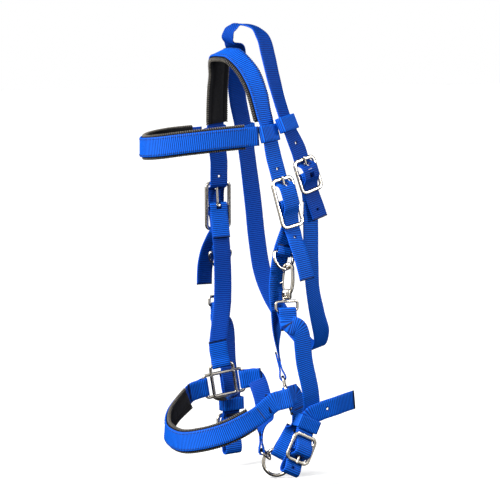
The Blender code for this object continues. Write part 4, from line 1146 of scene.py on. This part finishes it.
def near_chin_route():
    near_rear = NEAR_SQUARE.point(SQUARE_REACH, 0, 0)
    route = Route().add_all(reversed(about_bar(NEAR_SQUARE, near_rear, (-0.25, 0.9, -0.4),
                                               (1, 0.4, 0), 16.0, 26.0)))
    route.add(at(42, 86, -474), (0.95, 0.2, 0.1))
    sag = RING_RADIUS - math.sqrt(RING_RADIUS**2 - (STRAP_WIDTH / 2) ** 2)
    wire = RING.o + around_ring(62, RING_RADIUS - sag / 2)
    return route.add_all(fold(wire, around_ring(62, 1.0), RING.n,
                              RING_WIRE / 2 + sag / 2 + 1.3, 30.0, 38.0))


# ------------------------------------------------------------------ stations, tacks and pads
def nearest(p, point):
    return int(np.argmin(np.linalg.norm(p - point, axis=1)))


def station(p, n, point):
    """Centre, tangent and outward direction of a route, nearest to a point."""
    i = nearest(p, point)
    return p[i], tangents(p)[i], sections(p, n)[1][i]


def strap_loop(cad, centre, along, out, half_u, half_n, width=22.0):
    """A closed webbing loop round a strap that runs along the given direction."""
    loop = Frame(centre, along, out)
    add = GAP + HALF_T
    path = rounded_rect(half_u + add, half_n + add, HALF_T + 0.9)
    p = np.array([loop.point(u, 0, n) for u, n in path])
    s = np.linalg.norm(np.roll(p, -1, axis=0) - p, axis=1)
    p = np.concatenate([[a + (b - a) * k / max(1, round(d / FINE))
                         for k in range(max(1, round(d / FINE)))]
                        for a, b, d in zip(p, np.roll(p, -1, axis=0), s)])
    n = np.cross(loop.v, tangents(p, True))
    if np.sum(n * (p - loop.o)) < 0:
        n = -n
    return webbing(cad, p, n, width, STRAP_THICK, True)


def stitches(name, cad, points, dirs, outs, length, thread, mat, slot="blue_webbing"):
    """One row or field of thread stitches as a piece of its own."""
    mesh = bpy.data.meshes.new(name)
    mesh.from_pydata([tuple(q * MM) for q in points], [], [])
    for key, value in (("dir", dirs), ("out", outs)):
        layer = mesh.attributes.new(key, "FLOAT_VECTOR", "POINT")
        layer.data.foreach_set("vector", np.asarray(value, float).ravel())
    obj = bpy.data.objects.new(name, mesh)
    bpy.context.scene.collection.objects.link(obj)
    mat = bpy.data.materials[mat]
    grow(obj, bpy.data.node_groups["thread_stitches"], stitch_length=length * MM,
         thread=thread * MM, material=mat)
    return finish(obj, cad, False)


def tack_rows(p, n, point, side, rows, width=17.0):
    """Bar tacks across a strap: rows of close upright stitches on the side that faces out."""
    centre, t, m = station(p, n, point)
    w = np.cross(t, m)
    points, dirs = [], []
    for row in rows:
        for u in np.arange(-width / 2, width / 2 + 0.1, 0.95):
            points.append(centre + t * row + w * u + m * side * (HALF_T + 0.02))
            dirs.append(unit(t + w * 0.35 * (-1) ** round(u)))
    return points, dirs, [m * side] * len(points)


def puffed(obj, held):
    """The pad filled: a cloth skin under the push of its foam, held along every sewn line."""
    obj.vertex_groups.new(name="sewn").add(held, 1.0, "REPLACE")
    cloth = obj.modifiers.new("skin", "CLOTH")
    knit = cloth.settings
    knit.vertex_group_mass = "sewn"
    knit.quality = 6
    knit.mass = FOAM_MASS
    knit.tension_stiffness = knit.compression_stiffness = 15.0
    knit.bending_stiffness = 0.05
    knit.use_pressure = True
    knit.uniform_pressure_force = FOAM_PUSH
    knit.effector_weights.gravity = 0.0
    scene = bpy.context.scene
    start = scene.frame_current
    for step in range(1, FOAM_STEPS + 1):
        scene.frame_set(step)
    filled = bpy.data.meshes.new_from_object(
        obj.evaluated_get(bpy.context.evaluated_depsgraph_get()))
    before = np.array([v.co for v in obj.data.vertices])
    after = np.array([v.co for v in filled.vertices])
    push = after - before
    far = np.linalg.norm(push, axis=1)
    push *= (np.minimum(far, FOAM_RISE * MM) / np.maximum(far, 1e-9))[:, None]
    obj.modifiers.remove(cloth)
    scene.frame_set(start)
    for vertex, spot in zip(obj.data.vertices, before + push):
        vertex.co = spot
    obj.vertex_groups.clear()
    return obj


def running_rows(p, n, start, end, inset=2.4, pitch=3.4):
    """The two rows of running stitch that sew a pad on, near the strap's edges."""
    i, j = sorted((nearest(p, start), nearest(p, end)))
    w, m = sections(p, n)
    t = tangents(p)
    step = np.linalg.norm(p[i + 1] - p[i])
    points, dirs, outs = [], [], []
    for side in (-1, 1):
        for k in range(i, j, max(1, round(pitch / step))):
            points.append(p[k] + w[k] * side * (STRAP_WIDTH / 2 - inset) + m[k] * (HALF_T + 0.45))
            dirs.append(t[k])
            outs.append(m[k])
    return points, dirs, outs


def pad_shell(cad, p, n, start, end):
    """A foam pad under a strap: soft edges, bound by overlock, and two sewn channels."""
    look = bpy.context.scene.halter_padding
    i, j = nearest(p, start), nearest(p, end)
    i, j = min(i, j), max(i, j) + 1
    w, m = sections(p, n)
    a, b = PAD_WIDTH / 2, PAD_THICK / 2
    middle = -(HALF_T + PAD_GAP + PAD_THICK / 2)
    xs = np.linspace(-a + 1.0, a - 1.0, 17)
    seam = np.exp(-((np.abs(xs) - PAD_CHANNEL) / CHANNEL_WIDE) ** 2)
    crown = np.sqrt(np.clip(1 - (np.abs(xs) / (a + 0.4)) ** 6, 0, 1))
    top = [(x, b * (0.55 + 0.45 * c) - 0.5 * s) for x, c, s in zip(xs, crown, seam)]
    low = [(x, -b * (0.55 + 0.45 * c) + CHANNEL_DEEP * s)
           for x, c, s in zip(xs, crown, seam)]
    edge = [(a - 0.25, b * 0.42), (a, 0.0), (a - 0.25, -b * 0.42)]
    outline = np.array(top + edge + low[::-1] + [(-x, -y) for x, y in edge])
    q, w, m = p[i:j], w[i:j], m[i:j]
    s = np.arange(len(q)) * np.linalg.norm(q[1] - q[0])
    close = np.minimum(s, s[-1] - s)
    squeeze = np.sqrt(np.clip(close / 4.0, 0.16, 1))[:, None, None]
    size = len(outline)
    verts = q[:, None] + w[:, None] * outline[None, :, :1] * (0.96 + 0.04 * squeeze)
    verts = verts + m[:, None] * (outline[None, :, 1:2] * squeeze + middle)
    faces = skin(verts, False)[1]
    mat = bpy.data.materials["black_polyester_knit"]
    obj = new_object(cad + "_foam", verts.reshape(-1, 3), faces, mat, {
        "run": np.repeat(s, size), "cross": np.tile(outline[:, 0], len(q))})
    sewn = np.abs(np.abs(outline[:, 0]) - PAD_CHANNEL) < 1.0
    sewn |= (outline[:, 1] > -b * 0.3) | (np.abs(outline[:, 0]) > a - 1.2)
    held = [k * size + c for k in range(len(q)) for c in range(size)
            if sewn[c] or k < 3 or k > len(q) - 4]
    obj = puffed(obj, held)
    finish(obj, cad)
    pitch = look.stitch_pitch / MM
    points, dirs, outs = [], [], []
    for side in (-1, 1):
        for level, out in ((0.30, 0.7), (0.0, 0.0), (-0.30, -0.7)):
            for d in np.arange(0.5, s[-1], pitch):
                k = min(int(d / s[-1] * (len(q) - 1)), len(q) - 2)
                t = unit(q[k + 1] - q[k])
                x = side * (a + 0.05 - abs(level) * 3.0)
                y = level * PAD_THICK * 1.25
                points.append(q[k] + t * (d - s[k]) + w[k] * x + m[k] * (y + middle))
                face = unit(w[k] * side * (1 - abs(out)) + m[k] * out)
                outs.append(face)
                across = np.cross(t, face)
                dirs.append(unit(across + t * 0.5))
    stitches(cad + "_overlock", cad, points, dirs, outs, *OVERLOCK, "overlock_thread",
             "black_padding")
    strap = cad.replace("_pad", "_strap")
    rows = running_rows(p, n, start, end)
    stitches(strap + "_running_stitch", strap, *rows, *RUNNING, "bar_tack_thread")


# ------------------------------------------------------------------ routes made once
ROUTES = {}


def routes():
    """Every strap's fine route, by its node's name."""
    if ROUTES:
        return ROUTES
    made = {
        "crown_strap": crown_route(),
        "near_cheek_strap": near_cheek(),
        "far_cheek_strap": far_cheek(),
        "browband_strap": brow_route(),
        "throatlatch_strap": throat_route(),
        "noseband_strap": nose_route(),
        "far_chin_strap": far_chin_route(),
        "near_chin_strap": near_chin_route(),
    }
    for cad, route in made.items():
        ROUTES[cad] = route.dense(FINE)
    return ROUTES


class HALTER_OT_materials(bpy.types.Operator):
    """Make the finishes and the geometry trees that the other steps use"""
    bl_idname = "halter.materials"
    bl_label = "Finishes"

    def execute(self, context):
        web = context.scene.halter_webbing
        pads = context.scene.halter_padding
        plate = context.scene.halter_hardware
        nylon_webbing(tuple(web.colour), tuple(web.groove))
        polyester_knit(tuple(pads.colour))
        polyester_thread("overlock_thread", tuple(pads.binding), srgb("#8C857A"))
        polyester_thread("bar_tack_thread", srgb("#040A22"), srgb("#0C1A48"))
        nickel_plate(tuple(plate.colour), plate.roughness)
        rib_tree()
        stitch_tree()
        return {"FINISHED"}


CROWN_HOLES = [at(80, 30, -142), at(-82, 32, -160), at(97, 45.5, -230), at(-95, 36, -243)]
THROAT_HOLES = [at(78, 58, -110), at(94, 84, -196)]


class HALTER_OT_straps(bpy.types.Operator):
    """Weave the crown, cheek, brow, throat, nose and chin straps"""
    bl_idname = "halter.straps"
    bl_label = "Straps"

    def execute(self, context):
        r = routes()
        p, n = r["crown_strap"]
        holes = [tongue_hole(NEAR_CROWN, CROWN_BUCKLE_HALF, 1),
                 tongue_hole(FAR_CROWN, CROWN_BUCKLE_HALF, 1)]
        for spot in CROWN_HOLES:
            c, _, m = station(p, n, spot)
            holes.append((c, m, 0.0, None, SPARE_HOLE))
        webbing("crown_strap", p, n, holes=holes)
        for side, buckle_frame in (("near", NEAR_CROWN), ("far", FAR_CROWN)):
            cad = side + "_cheek_strap"
            webbing(cad, *r[cad], cutters=[tongue_slot(buckle_frame, 1)])
        p, n = r["throatlatch_strap"]
        holes = [tongue_hole(THROAT, THROAT_BUCKLE_HALF, 1)]
        for spot in THROAT_HOLES:
            c, _, m = station(p, n, spot)
            holes.append((c, m, 0.0, None, SPARE_HOLE))
        webbing("throatlatch_strap", p, n, holes=holes, cutters=[tongue_slot(THROAT, 1)])
        for cad in ("browband_strap", "noseband_strap", "far_chin_strap", "near_chin_strap"):
            webbing(cad, *r[cad])
        return {"FINISHED"}


class HALTER_OT_loops(bpy.types.Operator):
    """Weave the browband's four loops"""
    bl_idname = "halter.loops"
    bl_label = "Browband loops"

    def execute(self, context):
        p, n = crown_route().dense()
        c, t, m = station(p, n, at(73, 22, -98))
        strap_loop("near_browband_front_loop", c, -t, m, STRAP_WIDTH / 2 + 0.5, HALF_T + 0.7)
        c, t, m = station(p, n, at(-76, 27, -106))
        strap_loop("far_browband_front_loop", c, t, m, STRAP_WIDTH / 2 + 0.5, HALF_T + 0.7)
        p, n = throat_route().dense(8.0)
        for cad, spot in (("near_browband_rear_loop", at(73, 49, -85)),
                          ("far_browband_rear_loop", at(-75, 70, -102))):
            c, t, m = station(p, n, spot)
            strap_loop(cad, c, t * (1 if t[2] > 0 else -1), m, STRAP_WIDTH / 2 + 1.2,
                       HALF_T + 2.0, 20.0)
        return {"FINISHED"}


class HALTER_OT_pads(bpy.types.Operator):
    """Make the three foam pads with their sewn channels and bound edges"""
    bl_idname = "halter.pads"
    bl_label = "Pads"

    def execute(self, context):
        r = routes()
        for cad, strap, start, end in (
            ("crown_pad", "crown_strap", at(-72, 24, -88), at(69, 19.5, -81)),
            ("noseband_pad", "noseband_strap", at(88, -11, -462), at(-77, -20, -456)),
        ):
            p, n = even(*r[strap], 2.0)
            pad_shell(cad, p, n, start, end)
        p, n = even(*r["browband_strap"], 2.0)
        pad_shell("browband_pad", p, n, p[9], p[-10])
        return {"FINISHED"}


class HALTER_OT_cheek_metal(bpy.types.Operator):
    """Cast the crown and throat buckles and the halter squares"""
    bl_idname = "halter.cheek_metal"
    bl_label = "Buckles and squares"

    def execute(self, context):
        buckle("near_crown_buckle", NEAR_CROWN, CROWN_BUCKLE_HALF, 1)
        buckle("far_crown_buckle", FAR_CROWN, CROWN_BUCKLE_HALF, 1)
        buckle("throat_buckle", THROAT, THROAT_BUCKLE_HALF, 1)
        square("near_square", NEAR_SQUARE)
        square("far_square", FAR_SQUARE)
        return {"FINISHED"}


class HALTER_OT_chin_metal(bpy.types.Operator):
    """Bend the lead ring and the chin link"""
    bl_idname = "halter.chin_metal"
    bl_label = "Lead ring and link"

    def execute(self, context):
        points = [RING.o + around_ring(360 * k / 96, RING_RADIUS) for k in range(96)]
        metal("chin_ring", tube(points, RING.n, RING_WIRE, RING_WIRE, True, 24), (), (), 0)
        half = STRAP_WIDTH / 2 + 1.3 + EYE_WIRE / 2
        points = [LINK.point(u, v, 0) for u, v in rounded_rect(half, LINK_TALL / 2, 3.2)]
        metal("chin_link", tube(points, LINK.n, EYE_WIRE, EYE_WIRE), (), (), 0)
        return {"FINISHED"}


def dee_and_snap(side, cheek_strap, spot, shift, plane, eye_out):
    """The dee sewn to a cheek and the snap that hangs from it."""
    p, n = cheek_strap.dense()
    c, t, m = station(p, n, spot)
    up = t * (1 if t[2] > 0 else -1)
    stand = HALF_T + GAP + CHAPE_THICK + GAP + DEE_WIRE / 2 + 0.2
    cheek = Frame(c + m * stand, up, m)
    route = Route().add_all(fold(cheek.o, cheek.v, cheek.n, DEE_WIRE / 2, 11.0, 11.0,
                                 CHAPE_THICK))
    webbing(side + "_dee_chape", *route.dense(1.0), CHAPE_WIDTH, CHAPE_THICK)
    swing = math.radians(DEE_SWING)
    hang = cheek.turn(0, math.cos(swing), -math.sin(swing))
    ring = Frame(cheek.o, hang, cheek.turn(0, math.sin(swing), math.cos(swing)))
    dee(side + "_dee_ring", ring, DEE_HALF, DEE_DEPTH)
    lift = math.sqrt(1 - (shift / DEE_HALF) ** 2)
    wire = ring.point(shift, -4 - (DEE_DEPTH - 4) * lift, 0)
    hook = Frame(wire, (0, 0, 1), np.cross(plane, vec(0, 0, 1)))
    hook.o = wire - hook.v * 40.2 - hook.u * 2.2
    eye = Frame(hook.o - hook.v * (EYE_WIRE / 2 + 0.7), (0, 0, 1), eye_out)
    snap(side, hook, eye)
    return eye


EYES = {}


class HALTER_OT_snaps(bpy.types.Operator):
    """Make the dees, their chapes and the two spring snaps"""
    bl_idname = "halter.snaps"
    bl_label = "Dees and snaps"

    def execute(self, context):
        EYES["near"] = dee_and_snap("near", near_cheek(), at(87, 31, -246), 8.0,
                                    vec(0.8, 0.6, 0), (1.0, -0.05, 0))
        EYES["far"] = dee_and_snap("far", far_cheek(), at(-86, 41, -260), -3.0,
                                   vec(0.95, 0.31, 0), (-1.0, 0.05, 0))
        return {"FINISHED"}


def hanger(side, eye, frame_, keys, turn_tip, holes=()):
    """A bit hanger: folded on the snap's eye and on its buckle's bar, with the bit loop sewn
    inside it and buckled back up under the keeper."""
    route = Route()
    bar = eye.point(0, -EYE_DROP, 0)
    route.add_all(reversed(fold_on(bar, eye.u, keys[0][0] - bar, eye.n, EYE_WIRE / 2, 18.0,
                                   26.0)))
    route.add_all(keys)
    lean = lean_of(HANGER_BUCKLE_HALF)
    route.add(frame_.point(0, 52, -12.5), frame_.n)
    route.add(frame_.point(0, 33, -11.4), frame_.n)
    away = frame_.turn(0, math.cos(lean), -math.sin(lean))
    route.add_all(fold(frame_.o, away, frame_.turn(0, math.sin(lean), math.cos(lean)), BAR_R,
                       19.0, 18.0))
    p, n = route.dense(FINE)
    webbing(f"{side}_hanger_strap", p, n, cutters=[tongue_slot(frame_, -1)])
    ROUTES[f"{side}_hanger_strap"] = (p, n)
    half = HANGER_BUCKLE_HALF
    route = Route()
    inner = [(20, -15.4), (10, -12.8), (0, -10.2), (-10, -9.6), (-20, -10.4)]
    low = -half - BIT_LOOP
    inner += [(low + 7, -11.4), (low + 1.8, -9.4), (low, -5.2), (low + 2.0, -0.9)]
    for i, (v, k) in enumerate(inner):
        a, b = inner[max(i - 1, 0)], inner[min(i + 1, len(inner) - 1)]
        route.add(frame_.point(0, v, k), frame_.turn(0, (b[1] - a[1]), -(b[0] - a[0])) * -1.0)
    rise = [(v, k) for v, k in ((BIT_LOOP - 7, 3.6), (5.5, 1.6)) if v > 5]
    route.add_all(weave(frame_, half, -1.0, rise, [(5, -2.2), (16, -4.2), (26, -4.6)]))
    route.add_all(turn_tip)
    p, n = route.dense(FINE)
    punched = [tongue_hole(frame_, half, -1)]
    for spot in holes:
        c, _, m = station(p, n, spot)
        punched.append((c, m, 0.0, None, SPARE_HOLE))
    webbing(f"{side}_bit_loop", p, n, holes=punched, seal_mm=3.2)
    buckle(f"{side}_hanger_buckle", frame_, half, -1)
    strap_loop(f"{side}_hanger_keeper", frame_.point(0, half + 16, -9.7), frame_.v, frame_.n,
               STRAP_WIDTH / 2 + 1.5, 2 * HALF_T + 2.8, 17.0)


class HALTER_OT_hangers(bpy.types.Operator):
    """Make the two bit hangers with their buckles and keepers"""
    bl_idname = "halter.hangers"
    bl_label = "Bit hangers"

    def execute(self, context):
        near_keys = [
            (at(107, 47, -348), (1.0, 0.0, 0.0)),
            (at(106, 56, -392), (1.0, 0.0, 0.0)),
            (at(103, 67, -432), (1.0, 0.0, 0.0)),
        ]
        near_tip = [
            (at(103, 84, -457), (1.0, 0.1, 0.0)),
            (at(105, 104, -452), (1.0, 0.1, 0.0)),
            (at(101, 122, -449), (0.98, 0.2, 0.0)),
            (at(97, 138, -447), (0.97, 0.25, 0.0)),
        ]
        hanger("near", EYES["near"], NEAR_HANGER, near_keys, near_tip,
               [at(104, 93, -455), NEAR_HANGER.point(0, -HANGER_BUCKLE_HALF - 10, 2.0)])
        far_keys = [
            (at(-101, 55, -364), (-1.0, 0.0, 0.0)),
            (at(-97, 57.5, -416), (-1.0, 0.0, 0.0)),
        ]
        far_tip = [
            (at(-99, 60.5, -449), (-1.0, 0.0, 0.1)),
            (at(-104, 60.5, -431), (-1.0, 0.0, 0.25)),
        ]
        hanger("far", EYES["far"], FAR_HANGER, far_keys, far_tip,
               [FAR_HANGER.point(0, -HANGER_BUCKLE_HALF - 10, 2.0)])
        return {"FINISHED"}


class HALTER_OT_stitching(bpy.types.Operator):
    """Sew the bar tacks on the folds"""
    bl_idname = "halter.stitching"
    bl_label = "Bar tacks"

    def execute(self, context):
        r = routes()
        for name, cad, spot, side, rows in (
            ("near_cheek_top_tack", "near_cheek_strap", NEAR_CROWN.point(0, -34, 2), 1, (0, 9)),
            ("near_cheek_low_tack", "near_cheek_strap", NEAR_SQUARE.point(0, 52, 4), 1, (0, 7)),
            ("far_cheek_top_tack", "far_cheek_strap", FAR_CROWN.point(0, -34, 2), 1, (0, 9)),
            ("far_cheek_low_tack", "far_cheek_strap", FAR_SQUARE.point(0, 52, 4), 1, (0, 7)),
            ("near_nose_tack", "noseband_strap", at(91, 0, -457), 1, (0,)),
            ("far_nose_tack", "noseband_strap", at(-81, -10, -452), 1, (0,)),
            ("near_hanger_tack", "near_hanger_strap", at(107, 36, -338), 1, (0,)),
            ("far_hanger_tack", "far_hanger_strap", at(-101, 48, -350), 1, (0,)),
            ("near_chin_tack", "near_chin_strap", at(60, 80, -462), 1, (0,)),
            ("far_chin_tack", "far_chin_strap", at(-60, 66, -460), 1, (0,)),
        ):
            rows = tack_rows(*r[cad], spot, side, rows)
            stitches(name, cad, *rows, *TACK, "bar_tack_thread")
        return {"FINISHED"}


def studio_world(scene):
    """White behind the halter. Its light and reflections are bright from the front left and
    above and dim from the other side, as between a window and a dark room, and the metal also
    mirrors a striped card on the near side."""
    world = bpy.data.worlds.new("studio")
    world.use_nodes = True
    tree = world.node_tree
    place = node(tree, "ShaderNodeTexCoord")
    toward, right = [
        node(tree, "ShaderNodeVectorMath", {0: place.outputs["Generated"], 1: way}, "Value",
             operation="DOT_PRODUCT")
        for way in ((0.10, -0.78, 0.62), (0.86, 0.45, 0.22))]
    glow = node(tree, "ShaderNodeMapRange", {0: toward, 1: 0.38, 2: 0.62, 3: 0.02, 4: 0.85}, 0)
    bands = node(tree, "ShaderNodeMath", {0: right, 1: 34.0}, 0, operation="MULTIPLY")
    bands = node(tree, "ShaderNodeMath", {0: bands}, 0, operation="SINE")
    bands = node(tree, "ShaderNodeMapRange", {0: bands, 1: -0.2, 2: 0.25, 3: 0.15, 4: 1.4}, 0)
    card = node(tree, "ShaderNodeMapRange", {0: right, 1: 0.55, 2: 0.8}, 0)
    path = node(tree, "ShaderNodeLightPath")
    for share in (bands, path.outputs["Is Glossy Ray"]):
        card = node(tree, "ShaderNodeMath", {0: card, 1: share}, 0, operation="MULTIPLY")
    level = card
    for other in (glow, path.outputs["Is Camera Ray"]):
        level = node(tree, "ShaderNodeMath", {0: level, 1: other}, 0, operation="MAXIMUM")
    tree.nodes["Background"].inputs["Color"].default_value = (1.0, 1.0, 1.0, 1.0)
    tree.links.new(level, tree.nodes["Background"].inputs["Strength"])
    scene.world = world


class HALTER_OT_stage(bpy.types.Operator):
    """Lay a pale floor, set soft studio lights and the camera"""
    bl_idname = "halter.stage"
    bl_label = "Stage"

    def execute(self, context):
        look = context.scene.halter_stage
        low = CAD_BOX[0][2] - 0.002
        mesh = bpy.data.meshes.new("floor")
        mesh.from_pydata([(-20, -20, low), (20, -20, low), (20, 20, low), (-20, 20, low)], [],
                         [(0, 1, 2, 3)])
        floor = bpy.data.objects.new("floor", mesh)
        mat, tree, shader = start_material("matt_paper", Roughness=0.9,
                                           Emission_Color=(1.0, 1.0, 1.0, 1.0),
                                           Emission_Strength=0.35)
        pale = layered(tree, tuple(look.floor), [
            (noise(tree, 3.0, 3.0, 0.0, 0.04), srgb("#E8E8E8"))])
        tree.links.new(pale, shader.inputs["Base Color"])
        mesh.materials.append(mat)
        context.scene.collection.objects.link(floor)
        floor.visible_diffuse = False
        floor.visible_glossy = False
        studio_world(context.scene)
        back = Vector((math.sin(AZIMUTH) * math.cos(ELEVATION),
                       -math.cos(AZIMUTH) * math.cos(ELEVATION), math.sin(ELEVATION)))
        data = bpy.data.cameras.new("studio_camera")
        data.lens = look.focal
        data.sensor_width = 36.0
        camera = bpy.data.objects.new("studio_camera", data)
        camera.location = MIDDLE + back * look.distance
        camera.rotation_euler = back.to_track_quat("Z", "Y").to_euler()
        context.scene.collection.objects.link(camera)
        context.scene.camera = camera
        right = Vector((math.cos(AZIMUTH), math.sin(AZIMUTH), 0.0))
        sun = bpy.data.lights.new("window", "SUN")
        sun.energy = look.sun
        sun.angle = math.radians(24)
        light = bpy.data.objects.new("window", sun)
        place = -right * 0.55 + back * 0.55 + Vector((0, 0, 0.63))
        light.rotation_euler = place.to_track_quat("Z", "Y").to_euler()
        context.scene.collection.objects.link(light)
        for name, across, toward, up, size, power in (
            ("key", -1.5, 1.2, 0.5, 0.7, 22.0),
            ("rim", 1.7, 0.55, 0.6, 0.5, 17.0),
        ):
            lamp = bpy.data.lights.new(name, "AREA")
            lamp.shape = "SQUARE"
            lamp.size = size
            lamp.energy = power
            light = bpy.data.objects.new(name, lamp)
            place = right * across + back * toward + Vector((0, 0, up))
            light.location = MIDDLE + place
            light.rotation_euler = place.to_track_quat("Z", "Y").to_euler()
            context.scene.collection.objects.link(light)
        context.scene.view_settings.view_transform = "Standard"
        return {"FINISHED"}


STEPS = ("materials", "straps", "loops", "pads", "cheek_metal", "chin_metal", "snaps",
         "hangers", "stitching", "stage")


class HALTER_PT_panel(bpy.types.Panel):
    bl_idname = "HALTER_PT_panel"
    bl_label = "Halter-bridle"
    bl_space_type = "VIEW_3D"
    bl_region_type = "UI"
    bl_category = "Halter"

    def draw(self, context):
        for group in ("halter_webbing", "halter_padding", "halter_hardware", "halter_stage"):
            values = getattr(context.scene, group)
            box = self.layout.box()
            for key in values.bl_rna.properties.keys():
                if key not in ("rna_type", "name"):
                    box.prop(values, key)
        for step in STEPS:
            self.layout.operator("halter." + step)


GROUPS = (("halter_webbing", HalterWebbing), ("halter_padding", HalterPadding),
          ("halter_hardware", HalterHardware), ("halter_stage", HalterStage))
OPERATORS = (HALTER_OT_materials, HALTER_OT_straps, HALTER_OT_loops, HALTER_OT_pads,
             HALTER_OT_cheek_metal, HALTER_OT_chin_metal, HALTER_OT_snaps, HALTER_OT_hangers,
             HALTER_OT_stitching, HALTER_OT_stage)


def register():
    for name, group in GROUPS:
        bpy.utils.register_class(group)
        setattr(bpy.types.Scene, name, PointerProperty(type=group))
    for operator in OPERATORS:
        bpy.utils.register_class(operator)
    bpy.utils.register_class(HALTER_PT_panel)


def unregister():
    bpy.utils.unregister_class(HALTER_PT_panel)
    for operator in reversed(OPERATORS):
        bpy.utils.unregister_class(operator)
    for name, group in GROUPS:
        delattr(bpy.types.Scene, name)
        bpy.utils.unregister_class(group)


def main():
    register()
    for step in STEPS:
        getattr(bpy.ops.halter, step)()
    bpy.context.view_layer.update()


if __name__ == "__main__":
    main()
